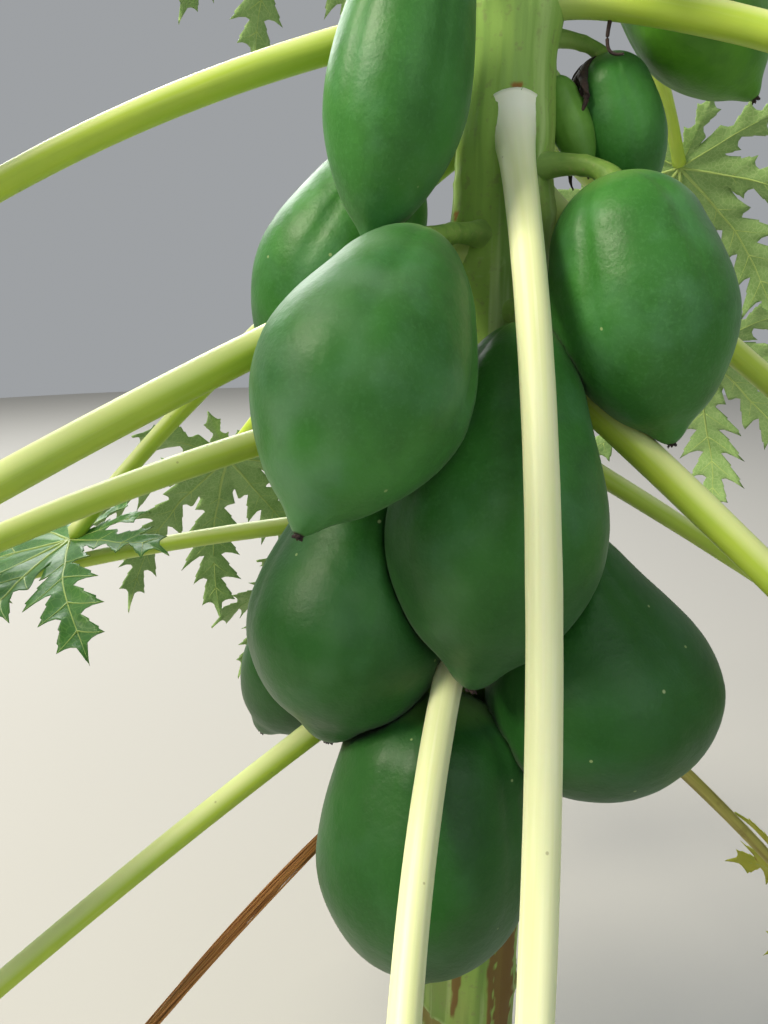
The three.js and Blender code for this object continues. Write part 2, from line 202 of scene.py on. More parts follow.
class Path:
    """A line through space that is read by the share of its length."""

    def __init__(self, points: Sequence[Vector]) -> None:
        """Measures the line.

        Args:
            points: Close points on it, in order.
        """
        self.points = [p.copy() for p in points]
        self.marks = [0.0]
        for a, b in zip(self.points, self.points[1:]):
            self.marks.append(self.marks[-1] + (b - a).length)
        self.length = self.marks[-1]
        self.tree = kdtree.KDTree(len(self.points))
        for i, point in enumerate(self.points):
            self.tree.insert(point, i)
        self.tree.balance()

    @classmethod
    def through(cls, steps: int, place: Callable[[float], Vector]) -> Path:
        """Returns the line through the places that even steps from 0 to 1 give."""
        return cls([place(i / steps) for i in range(steps + 1)])

    def at(self, share: float) -> Vector:
        """Finds a point on the line.

        Args:
            share: Its share of the length.

        Returns:
            The point.
        """
        goal = clamp(share) * self.length
        low, high = 0, len(self.marks) - 1
        while high - low > 1:
            middle = (low + high) // 2
            low, high = (middle, high) if self.marks[middle] <= goal else (low, middle)
        span = self.marks[high] - self.marks[low]
        return self.points[low].lerp(self.points[high], (goal - self.marks[low]) / span)

    def frame(self, share: float) -> tuple[Vector, Vector, Vector, Vector]:
        """Finds how the line runs at a point.

        Args:
            share: The point's share of the length.

        Returns:
            The point, the direction along, and the directions to the line's side and top.
        """
        step = 1.5 / len(self.points)
        along = (self.at(share + step) - self.at(share - step)).normalized()
        side = UP.cross(along)
        side = side.normalized() if side.length > 1e-4 else Vector((1.0, 0.0, 0.0))
        return self.at(share), along, side, along.cross(side)

    def near(self, point: Vector) -> tuple[float, float]:
        """Returns how far a point is from the line, and the share of the line nearest to it."""
        _, index, distance = self.tree.find(point)
        return distance, self.marks[index] / self.length


class Coords(Enum):
    """The coordinates that a pattern is drawn in."""

    OBJECT = "Object"  # the tree's own frame
    GRAIN = "grain"  # round and along a limb, or flat on a blade


class Pattern(Enum):
    """What a layer of a finish follows."""

    CLOUD = "cloud"  # soft noise
    SPECKS = "specks"  # small round spots
    NET = "net"  # the lines between cells
    PLACE = "place"  # a value stored on the mesh


@dataclass(frozen=True)
class Layer:
    """One colour of a finish that comes in over the ones before it.

    Attributes:
        color: Its colour, sRGB.
        pattern: What it follows.
        size: Millimetres across one patch, spot or cell.
        low: The pattern's value where the colour begins.
        high: The pattern's value where it is full.
        strength: How much of it there is at most.
        coords: What the pattern is drawn in.
        stretch: How much longer than wide a patch is along the grain.
        place: The stored value's name, for PLACE.
        rough: Roughness where it lies, or below 0 for none of its own.
    """

    color: str
    pattern: Pattern = Pattern.CLOUD
    size: float = 20.0
    low: float = 0.4
    high: float = 0.7
    strength: float = 1.0
    coords: Coords = Coords.OBJECT
    stretch: float = 1.0
    place: str = ""
    rough: float = -1.0


@dataclass(frozen=True)
class Relief:
    """Fine unevenness of a surface.

    Attributes:
        size: Millimetres across one bump.
        height: Its height in millimetres.
        pattern: What it follows.
        coords: What the pattern is drawn in.
        stretch: How much longer than wide a bump is along the grain.
    """

    size: float
    height: float
    pattern: Pattern = Pattern.CLOUD
    coords: Coords = Coords.OBJECT
    stretch: float = 1.0


def add_node(
    tree: bpy.types.NodeTree, kind: str, inputs: dict[str | int, object] | None = None, **settings: object
) -> bpy.types.Node:
    """Adds a node with its settings, values and links.

    Args:
        tree: The material's node tree.
        kind: The node's type name after ShaderNode.
        inputs: For each input, by name or number, a value or the output it is linked from.
        settings: The node's own properties.

    Returns:
        The node.
    """
    node = tree.nodes.new("ShaderNode" + kind)
    for name, value in settings.items():
        setattr(node, name, value)
    for name, value in (inputs or {}).items():
        if isinstance(value, bpy.types.NodeSocket):
            tree.links.new(value, node.inputs[name])
        else:
            node.inputs[name].default_value = value
    return node


@dataclass(frozen=True)
class Finish:
    """A surface of the tree, from its ground colour up.

    Attributes:
        name: What the surface is.
        color: Its ground colour, sRGB.
        roughness: Its roughness where no layer sets its own.
        layers: Colours over the ground, in order.
        relief: Its unevenness, coarse before fine.
        specular: How strongly it reflects.
        coat: Weight of a thin wax coat.
        sheen: Weight of the soft glow of fine hairs or bloom.
        scatter: Weight of the light that goes in and comes out again.
    """

    name: str
    color: str
    roughness: float
    layers: tuple[Layer, ...] = ()
    relief: tuple[Relief, ...] = ()
    specular: float = 0.5
    coat: float = 0.0
    sheen: float = 0.0
    scatter: float = 0.0

    COAT_ROUGHNESS = 0.28
    SHEEN_ROUGHNESS = 0.5
    SCATTER_DEPTH = 0.004  # metres that light goes into juicy tissue
    CLOUD_DETAIL = 3.0
    CLOUD_ROUGHNESS = 0.55

    def material(self) -> bpy.types.Material:
        """Makes the finish as a material, once.

        Returns:
            The material.
        """
        made = bpy.data.materials.get(self.name)
        if made:
            return made
        made = bpy.data.materials.new(self.name)
        made.use_nodes = True
        tree = made.node_tree
        tree.nodes.clear()
        color, roughness = self._colors(tree)
        inputs = {
            "Base Color": color,
            "Roughness": roughness,
            "Specular IOR Level": self.specular,
            "Coat Weight": self.coat,
            "Coat Roughness": self.COAT_ROUGHNESS,
            "Sheen Weight": self.sheen,
            "Sheen Roughness": self.SHEEN_ROUGHNESS,
            "Subsurface Weight": self.scatter,
            "Subsurface Scale": self.SCATTER_DEPTH,
        }
        normal = self._normal(tree)
        if normal:
            inputs["Normal"] = normal
        shader = add_node(tree, "BsdfPrincipled", inputs)
        add_node(tree, "OutputMaterial", {"Surface": shader.outputs["BSDF"]})
        made.diffuse_color = linear(self.color)
        return made

    def _value(self, tree: bpy.types.NodeTree, what: Layer | Relief) -> bpy.types.NodeSocket:
        """Adds the nodes of a pattern.

        Args:
            tree: The material's node tree.
            what: The layer or the relief that follows the pattern.

        Returns:
            The output that carries the pattern's value.
        """
        if what.pattern is Pattern.PLACE:
            return add_node(tree, "Attribute", attribute_name=what.place).outputs["Fac"]
        if what.coords is Coords.OBJECT:
            source = add_node(tree, "TexCoord").outputs["Object"]
        else:
            source = add_node(tree, "Attribute", attribute_name=what.coords.value).outputs["Vector"]
        scale = 1.0 / (what.size * MM)
        spaced = add_node(tree, "Mapping", {"Vector": source, "Scale": (scale, scale, scale / what.stretch)})
        inputs = {"Vector": spaced.outputs[0], "Scale": 1.0}
        if what.pattern is Pattern.CLOUD:
            inputs.update({"Detail": self.CLOUD_DETAIL, "Roughness": self.CLOUD_ROUGHNESS})
            return add_node(tree, "TexNoise", inputs).outputs[0]
        feature = "F1" if what.pattern is Pattern.SPECKS else "DISTANCE_TO_EDGE"
        return add_node(tree, "TexVoronoi", inputs, feature=feature).outputs["Distance"]

    def _colors(self, tree: bpy.types.NodeTree) -> tuple[object, object]:
        """Lays the colours on.

        Args:
            tree: The material's node tree.

        Returns:
            The colour and the roughness, each as a value or an output.
        """
        color: object = linear(self.color)
        gloss: object = self.roughness
        for layer in self.layers:
            held = add_node(tree, "MapRange", {
                "Value": self._value(tree, layer),
                "From Min": layer.low,
                "From Max": layer.high,
                "To Min": 0.0,
                "To Max": layer.strength,
            })
            share = held.outputs[0]
            inputs = {0: share, 6: color, 7: linear(layer.color)}
            color = add_node(tree, "Mix", inputs, data_type="RGBA").outputs[2]
            if layer.rough >= 0.0:
                inputs = {0: share, 2: gloss, 3: layer.rough}
                gloss = add_node(tree, "Mix", inputs, data_type="FLOAT").outputs[0]
        return color, gloss

    def _normal(self, tree: bpy.types.NodeTree) -> bpy.types.NodeSocket | None:
        """Adds the nodes of the surface's unevenness.

        Args:
            tree: The material's node tree.

        Returns:
            The output that carries it, if there is any.
        """
        normal = None
        for relief in self.relief:
            inputs = {"Height": self._value(tree, relief), "Distance": relief.height * MM, "Strength": 1.0}
            if normal:
                inputs["Normal"] = normal
            normal = add_node(tree, "Bump", inputs).outputs["Normal"]
        return normal


# What several finishes have in common: small corky specks, the yellower neck and the dark scar of the
# flower on the rinds, and brown specks and fine lengthwise ridges on the leaf stalks.
CORK_SPECKS = Layer("#a9bb80", Pattern.SPECKS, size=34, low=0.045, high=0.03, strength=0.6, rough=0.7)
GREEN_NECK = Layer("#6f9a45", Pattern.PLACE, place="neck", low=0.2, high=1.0, strength=0.6)
FLOWER_SCAR = Layer("#2b2115", Pattern.PLACE, place="scar", low=0.25, high=0.75, rough=0.9)
RIND_RELIEF = (Relief(16, 1.0), Relief(2.2, 0.16))
STALK_SPECKS = Layer("#8c8a55", Pattern.SPECKS, size=30, low=0.04, high=0.025, strength=0.5, rough=0.8)
STALK_RELIEF = (Relief(5, 0.16, coords=Coords.GRAIN, stretch=30), Relief(1.2, 0.05))

# Unripe papaya rind is thick skin under a thin natural wax: deep blue-green with lighter clouds, pale corky
# specks, and a greyish bloom that dulls the gloss in patches. Its upper sides are paler and bluer, partly
# bloom and partly a painted reflection of the sky. Fruit low on the stem are painted darker green: painted
# shade from what hangs above them. The tip keeps the dark scar of the flower.
RIND = Finish(
    "waxy unripe papaya rind", "#2e6a24", 0.46, specular=0.34, sheen=0.06,
    layers=(
        Layer("#428435", size=90, low=0.4, high=0.68, strength=0.7),
        Layer("#1f4d1a", size=30, low=0.5, high=0.75, strength=0.4),
        Layer("#458040", size=3.0, low=0.5, high=0.72, strength=0.4),
        Layer("#5f9070", size=55, low=0.5, high=0.75, strength=0.35, rough=0.62),
        # painted shade: fruit low on the stem are painted darker green
        Layer("#0d420e", Pattern.PLACE, place="painted_low_shade", low=0.0, high=1.0, strength=0.66),
        # bloom and painted sky reflection: paler and bluer on the upper sides
        Layer("#7f9d83", Pattern.PLACE, place="bloom", low=0.2, high=1.0, strength=0.4, rough=0.58),
        CORK_SPECKS,
        Layer("#b5c592", Pattern.SPECKS, size=95, low=0.022, high=0.014, strength=0.7, rough=0.7),
        GREEN_NECK,
        FLOWER_SCAR,
    ),
    relief=RIND_RELIEF,
)

# Fruit high on the stem are greener than the full ones; this rind is also painted brighter, as painted
# light for a fruit lit through from behind.
FRESH_BACKLIT_RIND = Finish(
    "fresh green papaya rind with painted backlight", "#477f20", 0.46, specular=0.34, sheen=0.06,
    layers=(
        Layer("#5f9c28", size=60, low=0.4, high=0.68, strength=0.8),
        Layer("#2c5c18", size=26, low=0.5, high=0.75, strength=0.4),
        # bloom and painted sky reflection: paler and bluer on the upper sides
        Layer("#8fae7c", Pattern.PLACE, place="bloom", low=0.2, high=1.0, strength=0.3, rough=0.58),
        CORK_SPECKS,
        GREEN_NECK,
        FLOWER_SCAR,
    ),
    relief=RIND_RELIEF,
)

# Young fruit are paler and yellower than full ones.
YOUNG_RIND = Finish(
    "young papaya rind", "#5f8f38", 0.45, specular=0.35,
    layers=(
        Layer("#79a650", size=22, low=0.4, high=0.7, strength=0.7),
        Layer("#41702c", Pattern.PLACE, place="neck", low=0.1, high=1.0, strength=0.6),
        FLOWER_SCAR,
    ),
    relief=(Relief(12, 0.5), Relief(1.4, 0.08)),
)

# The fruit's own stalk is green and a little corky.
FRUIT_STALK = Finish(
    "fruit stalk skin", "#7c9f48", 0.55, specular=0.35,
    layers=(
        Layer("#527d34", size=14, low=0.45, high=0.7, strength=0.7),
        Layer("#a3a46c", size=5, low=0.58, high=0.72, strength=0.5, rough=0.8),
        Layer("#a9c878", Pattern.PLACE, place="base", low=0.15, high=0.8, strength=0.8),
    ),
    relief=(Relief(3, 0.5, coords=Coords.GRAIN, stretch=4),),
)

# A papaya's leaf stalk is a smooth, juicy tube, pale yellow-green with fine lengthwise streaks, and
# paler where it clasps the trunk. Its upper side is painted paler still: painted sunlight.
STALK = Finish(
    "smooth leaf stalk skin", "#b4cb46", 0.42, specular=0.4, scatter=0.05,
    layers=(
        Layer("#9dba3c", size=9, low=0.42, high=0.7, strength=0.45, coords=Coords.GRAIN, stretch=30),
        Layer("#c5d27c", size=3.5, low=0.55, high=0.75, strength=0.35, coords=Coords.GRAIN, stretch=40),
        Layer("#9aba45", size=60, low=0.42, high=0.7, strength=0.4),
        # painted sunlight: the upper side is painted paler
        Layer("#e2eaa6", Pattern.PLACE, place="sun", low=0.15, high=1.0, strength=0.85),
        Layer("#c6d896", Pattern.PLACE, place="base", low=0.3, high=0.9, strength=0.7),
        STALK_SPECKS,
    ),
    relief=STALK_RELIEF,
)

# Stalks that stand in full sun are drawn pale straw yellow all round, partly their own paler skin and partly
# painted sunlight: a lit copy of the stalk skin, near white at the root.
PALE_STALK = Finish(
    "pale leaf stalk skin with painted sunlight", "#ebf0c0", 0.42, specular=0.4, scatter=0.05,
    layers=(
        Layer("#d8e298", size=9, low=0.42, high=0.7, strength=0.5, coords=Coords.GRAIN, stretch=30),
        Layer("#f4f6d8", size=3.5, low=0.5, high=0.75, strength=0.5, coords=Coords.GRAIN, stretch=40),
        Layer("#fafcec", Pattern.PLACE, place="base", low=0.35, high=0.85, strength=0.95),
        STALK_SPECKS,
    ),
    relief=STALK_RELIEF,
)

# An old stalk yellows and browns before it drops.
OLD_STALK = Finish(
    "yellowing leaf stalk skin", "#b7ad58", 0.5,
    layers=(
        Layer("#8a7a38", size=6, low=0.4, high=0.66, strength=0.75, coords=Coords.GRAIN, stretch=24),
        Layer("#6b4f2a", size=22, low=0.58, high=0.75, strength=0.6, rough=0.75),
    ),
    relief=(Relief(4, 0.5, coords=Coords.GRAIN, stretch=24),),
)

# A dead stalk dries to bare fibres, orange-brown with dark gaps.
DRY_STALK = Finish(
    "dried leaf stalk fibre", "#b97f45", 0.85, sheen=0.1,
    layers=(
        Layer("#7a4820", size=2.4, low=0.5, high=0.64, strength=0.85, coords=Coords.GRAIN, stretch=40),
        Layer("#d9ad78", size=3.4, low=0.5, high=0.68, strength=0.75, coords=Coords.GRAIN, stretch=50),
    ),
    relief=(Relief(2.4, 0.9, coords=Coords.GRAIN, stretch=40),),
)

# The stem stays green for most of its height: thin skin with lengthwise streaks, brown rimmed scars where
# leaves have dropped, and brown strips of old bark under the fruit. It is painted paler green towards the
# top, partly its younger skin and partly painted light from above, and darker and browner from the foot up
# to under the fruit, partly cork and partly painted shade from the fruit above.
BARK = Finish(
    "green papaya stem skin", "#8bb04e", 0.55, specular=0.35,
    layers=(
        Layer("#638a38", size=24, low=0.45, high=0.56, strength=0.8, coords=Coords.GRAIN, stretch=12),
        Layer("#b9ce90", size=18, low=0.53, high=0.66, strength=0.8, coords=Coords.GRAIN, stretch=16),
        Layer("#8a8442", size=30, low=0.58, high=0.72, strength=0.4, coords=Coords.GRAIN, stretch=8),
        # younger skin and painted light from above: paler fresh green towards the top
        Layer("#a4ca6c", Pattern.PLACE, place="green", low=0.0, high=1.0, strength=0.5),
        # cork and painted shade: darker and browner from the foot up to under the fruit
        Layer("#8d8158", Pattern.PLACE, place="cork_and_shade", low=0.08, high=0.8, strength=0.8, rough=0.85),
        Layer("#7d7358", size=7, low=0.58, high=0.7, strength=0.35, rough=0.85),
        Layer("#6e4527", Pattern.PLACE, place="strip", low=0.2, high=0.8, strength=0.85, rough=0.9),
        Layer("#b4c48c", Pattern.PLACE, place="rim", low=0.2, high=1.0, strength=0.7, rough=0.7),
        Layer("#84703f", Pattern.PLACE, place="scar", low=0.1, high=0.9, strength=0.8, rough=0.9),
        Layer("#94592a", Pattern.PLACE, place="bud", low=0.1, high=0.8, strength=0.85, rough=0.85),
    ),
    relief=(Relief(12, 0.9, coords=Coords.GRAIN, stretch=12), Relief(1.6, 0.15)),
)

# The top of a blade is dull satin with a fine net of veins.
LEAF_TOP = Finish(
    "leaf blade, upper side", "#3c702c", 0.46, specular=0.45,
    layers=(
        Layer("#4f8638", size=45, low=0.4, high=0.7, strength=0.8, coords=Coords.GRAIN),
        Layer("#2c5a26", size=12, low=0.5, high=0.72, strength=0.5, coords=Coords.GRAIN),
        Layer("#7ba353", Pattern.NET, size=7, low=0.06, high=0.0, strength=0.4, coords=Coords.GRAIN),
    ),
    relief=(Relief(7, 0.25, Pattern.NET, Coords.GRAIN),),
)

# The underside of a blade is paler and duller, and its veins stand out.
LEAF_UNDER = Finish(
    "leaf blade, underside", "#7f9f5e", 0.6, specular=0.35,
    layers=(
        Layer("#92b070", size=40, low=0.4, high=0.7, strength=0.7, coords=Coords.GRAIN),
        Layer("#a9bf85", Pattern.NET, size=7, low=0.08, high=0.0, strength=0.5, coords=Coords.GRAIN),
    ),
    relief=(Relief(7, 0.6, Pattern.NET, Coords.GRAIN),),
)

# A young blade is brighter and yellower than a full-grown one, and a little glossier.
YOUNG_TOP = Finish(
    "young leaf blade, upper side", "#578a30", 0.42, specular=0.5,
    layers=(
        Layer("#6c9f3d", size=35, low=0.4, high=0.7, strength=0.7, coords=Coords.GRAIN),
        Layer("#97ba60", Pattern.NET, size=6, low=0.06, high=0.0, strength=0.4, coords=Coords.GRAIN),
    ),
    relief=(Relief(6, 0.5, Pattern.NET, Coords.GRAIN),),
)

# The underside of a young blade is pale yellow-green.
YOUNG_UNDER = Finish(
    "young leaf blade, underside", "#97b968", 0.55, specular=0.4,
    layers=(Layer("#adc983", size=30, low=0.4, high=0.7, strength=0.7, coords=Coords.GRAIN),),
    relief=(Relief(6, 0.6, Pattern.NET, Coords.GRAIN),),
)

# The lowest leaf yellows from its edges and dries brown at the tips.
OLD_TOP = Finish(
    "yellowing leaf blade", "#b3b43c", 0.6, specular=0.35,
    layers=(
        Layer("#7f9a3a", size=50, low=0.48, high=0.7, strength=0.8, coords=Coords.GRAIN),
        Layer("#8a5a2a", size=24, low=0.56, high=0.7, strength=0.85, coords=Coords.GRAIN, rough=0.85),
    ),
    relief=(Relief(7, 0.6, Pattern.NET, Coords.GRAIN),),
)

# Ribs are pale and firm, like thin stalks.
RIB = Finish(
    "leaf rib skin", "#a4ba6a", 0.5,
    layers=(Layer("#93ab58", size=20, low=0.4, high=0.7, strength=0.7),),
    relief=(Relief(3, 0.2),),
)

# Papaya flowers have thick, waxy cream petals, greener at the foot.
PETAL = Finish(
    "waxy flower petal", "#ece6bd", 0.45, coat=0.1, scatter=0.1,
    layers=(Layer("#c5cf86", Pattern.PLACE, place="base", low=0.2, high=1.0, strength=0.8),),
    relief=(Relief(2.5, 0.15),),
)

# What is left of a flower dries to crumpled purple-brown skin.
DRY_PETAL = Finish(
    "dried flower skin", "#2c1c1c", 0.8, sheen=0.05,
    layers=(Layer("#54392c", size=3, low=0.5, high=0.7, strength=0.5),),
    relief=(Relief(2, 0.6),),
)

# The studio floor is matt pale plaster.
PLASTER = Finish("pale studio floor", "#adaca8", 0.9, relief=(Relief(30, 0.2),))


class Piece:
    """One visible piece of the tree while it is being shaped, in millimetres."""

    def __init__(self, name: str, slot: str, finishes: Sequence[Finish], nodes: Sequence[str]) -> None:
        """Starts an empty piece.

        Args:
            name: The piece's name.
            slot: The record's material slot; it is kept but not used.
            finishes: Its finishes, in the order of its faces' numbers.
            nodes: The solids that it stands for.
        """
        self.name = name
        self.slot = slot
        self.finishes = finishes
        self.nodes = nodes
        self.mesh = bmesh.new()
        self.grain = self.mesh.verts.layers.float_vector.new("grain")

    def layer(self, name: str) -> bmesh.types.BMLayerItem:
        """Returns the stored value of that name, made if it is new."""
        layers = self.mesh.verts.layers.float
        return layers.get(name) or layers.new(name)

    def grid(
        self, across: int, along: int, place: Callable[[float, float], Vector], finish: int = 0
    ) -> Corners:
        """Adds a grid whose corners are put in place one by one.

        Args:
            across: Faces across it.
            along: Faces along it.
            place: Gives the corner's place from its shares across and along.
            finish: The number of its finish.

        Returns:
            Its corners, row by row along it.
        """
        before = len(self.mesh.faces)
        centre = Matrix.Translation((0.5, 0.5, 0.0))
        made = bmesh.ops.create_grid(self.mesh, x_segments=across, y_segments=along, size=0.5, matrix=centre)
        for corner in made["verts"]:
            corner.co = place(corner.co.x, corner.co.y)
        self.mesh.faces.ensure_lookup_table()
        for face in self.mesh.faces[before:]:
            face.material_index = finish
        return made["verts"]

    def tube(
        self, path: Path, sizes: Sizes, sides: int, rings: int, finish: int = 0, crowding: float = 1.0
    ) -> Corners:
        """Adds a closed limb round a path.

        Args:
            path: Its centre line.
            sizes: Gives its half width and half height from the share along it and the angle round it.
            sides: Faces round it.
            rings: Faces along it, with the two that close its ends.
            finish: The number of its finish.
            crowding: Above 1, its rings lie closer at the path's start.

        Returns:
            Its corners.
        """
        frames: dict[float, tuple[Vector, Vector, Vector, Vector]] = {}
        grains: list[Vector] = []

        def place(x: float, y: float) -> Vector:
            """Places a corner of the grid and notes its grain.

            Args:
                x: Its share of the way round.
                y: Its share of the way along, with the rings that close the ends.

            Returns:
                Its place.
            """
            share = clamp((y * rings - 1.0) / (rings - 2.0)) ** crowding
            if share not in frames:
                frames[share] = path.frame(share)
            point, _, side, top = frames[share]
            angle = math.tau * x
            wide, tall = sizes(share, angle)
            grains.append(Vector((math.cos(angle) * wide, math.sin(angle) * tall, share * path.length)) * MM)
            if y < 0.5 / rings or y > 1.0 - 0.5 / rings:
                return point
            return point + side * (math.cos(angle) * wide) + top * (math.sin(angle) * tall)

        corners = self.grid(sides, rings, place, finish)
        for corner, grain in zip(corners, grains):
            corner[self.grain] = grain
        return corners

    def turned(
        self, matrix: Matrix, radius: Radius, length: float, sides: int, rings: int, finish: int = 0
    ) -> Corners:
        """Adds a turned body that hangs down its own -Z, spun from its profile.

        Args:
            matrix: Its place on the tree.
            radius: Gives its radius from the share down it and the angle round it.
            length: Its length.
            sides: Faces round it.
            rings: Faces down it.
            finish: The number of its finish.

        Returns:
            Its corners.
        """
        before = set(self.mesh.verts)
        profile = []
        for i in range(rings + 1):
            share = (1.0 - math.cos(math.pi * i / rings)) / 2.0
            profile.append(self.mesh.verts.new((max(radius(share, 0.0), 0.0), 0.0, -share * length)))
        profile[0].co.x = profile[-1].co.x = 0.0
        edges = [self.mesh.edges.new(pair) for pair in zip(profile, profile[1:])]
        geometry = profile + edges
        bmesh.ops.spin(
            self.mesh, geom=geometry, cent=(0, 0, 0), axis=UP, angle=math.tau, steps=sides, use_merge=True
        )
        corners = [v for v in self.mesh.verts if v not in before]
        for corner in corners:
            self._swell(corner, radius, length)
            corner[self.grain] = corner.co * MM
            corner.co = matrix @ corner.co
        for face in {f for v in corners for f in v.link_faces}:
            face.material_index = finish
        return corners

    def _swell(self, corner: bmesh.types.BMVert, radius: Radius, length: float) -> None:
        """Moves a spun corner out to the radius at its own angle.

        Args:
            corner: The corner.
            radius: Gives the body's radius from the share down it and the angle round it.
            length: The body's length.
        """
        reach = math.hypot(corner.co.x, corner.co.y)
        if reach > 1e-6:
            wanted = radius(clamp(-corner.co.z / length), math.atan2(corner.co.y, corner.co.x))
            corner.co.x *= wanted / reach
            corner.co.y *= wanted / reach

    def finish(self) -> bpy.types.Object:
        """Closes the piece's shells, turns it to metres and sets it on the tree.

        Returns:
            The finished object.
        """
        bmesh.ops.remove_doubles(self.mesh, verts=self.mesh.verts[:], dist=WELD)
        bmesh.ops.recalc_face_normals(self.mesh, faces=self.mesh.faces[:])
        bmesh.ops.scale(self.mesh, vec=(MM, MM, MM), verts=self.mesh.verts[:])
        for face in self.mesh.faces:
            face.smooth = True
        data = bpy.data.meshes.new(self.name)
        self.mesh.to_mesh(data)
        self.mesh.free()
        for finish in self.finishes:
            data.materials.append(finish.material())
        made = bpy.data.objects.new(self.name, data)
        bpy.context.scene.collection.objects.link(made)
        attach(made, BODY)
        if self.nodes:
            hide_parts(*self.nodes)
        LOG.info("%s: %d faces", self.name, len(data.polygons))
        return made


@dataclass(frozen=True)
class LeafSpec:
    """How one leaf grows.

    Attributes:
        name: Its number.
        height: Height of its node.
        bearing: Bearing of its node.
        rise: The stalk's slope at the trunk, in degrees.
        fall: The stalk's slope at the blade.
        length: The stalk's length.
        swing: How far the stalk swings round on the way, in degrees.
        thick: The stalk's thickness.
        lobe: Length of the blade's central lobe.
        pitch: The blade's slope at its hub.
    """

    name: str
    height: float
    bearing: float
    rise: float
    fall: float
    length: float
    swing: float
    thick: float
    lobe: float
    pitch: float


@dataclass
class Stalk:
    """A leaf stalk that clasps the trunk and carries its blade."""

    spec: LeafSpec
    steps: int = 60
    sides: int = 28
    rings: int = 84
    crowding: float = 1.3
    side_flare: float = 0.95  # extra half width inside the trunk where it clasps, against its own
    top_flare: float = 0.9  # extra half height there
    flare_length: float = 20.0
    flutes: int = 9
    flute_depth: float = 0.006
    uneven: float = 0.02  # how far its thickness wanders, against itself
    uneven_length: float = 45.0
    knee: float = 0.12  # extra thickness just under the blade
    knee_length: float = 22.0
    end: float = 0.4  # length of its rounded end, against its thickness
    pale_length: float = 70.0  # how far its pale root reaches
    dapple: float = 0.12  # how far the edge of its painted sunlit side wanders
    dapple_length: float = 60.0
    path: Path = field(init=False)

    def __post_init__(self) -> None:
        """Works out the centre line."""
        self.path = Path.through(self.steps, self._centre)

    def _centre(self, share: float) -> Vector:
        """Finds a point on the centre line.

        Args:
            share: Its share of the length.

        Returns:
            The point.
        """
        spec = self.spec
        run, rise = arc(spec.length, spec.rise, spec.fall, share)
        angle = math.radians(spec.bearing + spec.swing * share)
        return trunk_axis(spec.height) + polar(angle, trunk_radius(spec.height) * ROOT_SINK + run, rise)

    def half(self, share: float) -> float:
        """Returns its plain radius at a share of its length."""
        knee = self.knee * hump((1.0 - share) * self.spec.length, self.knee_length)
        return self.spec.thick / 2.0 * (mix(1.0, STALK_TIP, share) + knee)

    def depth(self, point: Vector) -> float:
        """Returns how far inside the stalk a point lies, below 0 outside it."""
        distance, share = self.path.near(point)
        return self.half(share) - distance

    def hub(self) -> tuple[Vector, Quaternion]:
        """Finds where its blade grows.

        Returns:
            The place of the blade's hub, and how the blade is turned.
        """
        point, along, _, _ = self.path.frame(1.0)
        yaw = Quaternion(UP, math.atan2(along.y, along.x))
        return point, yaw @ Quaternion((0.0, 1.0, 0.0), -math.radians(self.spec.pitch))

    def sizes(self, share: float, angle: float) -> tuple[float, float]:
        """Works out its thickness.

        Args:
            share: The share of its length.
            angle: The angle round it, in radians.

        Returns:
            Its half width and half height there.
        """
        length = self.path.length
        flare = fade(share * length, self.flare_length)
        plain = self.half(share) * (1.0 + self.flute_depth * math.cos(self.flutes * angle))
        plain *= 1.0 + self.uneven * rough(share * length / self.uneven_length, self.spec.height)
        tip = math.sqrt(clamp((1.0 - share) * length / (self.spec.thick * self.end)))
        wide = plain * (1.0 + self.side_flare * flare)
        return wide * tip, plain * (1.0 + self.top_flare * flare) * tip

    def shape(self, piece: Piece, finish: int = 0) -> None:
        """Adds the stalk to a piece.

        Args:
            piece: The piece it is part of.
            finish: The number of its finish there.
        """
        base, sun = piece.layer("base"), piece.layer("sun")
        for corner in piece.tube(self.path, self.sizes, self.sides, self.rings, finish, self.crowding):
            grain = corner[piece.grain] / MM
            corner[base] = fade(grain.z, self.pale_length)
            # painted sunlight on the upper side, with a dappled edge
            above = grain.y / max(math.hypot(grain.x, grain.y), 0.1)
            dapple = self.dapple * rough(grain.z / self.dapple_length, self.spec.height, 4.0)
            corner[sun] = ease(above + dapple)


@dataclass(frozen=True)
class Web:
    """The join between a lobe and its neighbour.

    Attributes:
        half: Half the angle between them, in radians.
        notch: How far from the hub the notch between them lies.
    """

    half: float
    notch: float


@dataclass(frozen=True)
class Lobe:
    """One main lobe of a blade.

    Attributes:
        angle: Its direction in degrees from the blade's forward direction.
        length: Its length.
        webs: The joins on its right and on its left.
        droop: How much further than the rule it bends down.
        sway: How far its tip leans aside, in degrees.
        teeth: How many side lobes it has on each side.
        jitter: How each side lobe differs in length, right then left.
    """

    angle: float
    length: float
    webs: tuple[Web, Web]
    droop: float
    sway: float
    teeth: int
    jitter: tuple[tuple[float, float], ...]


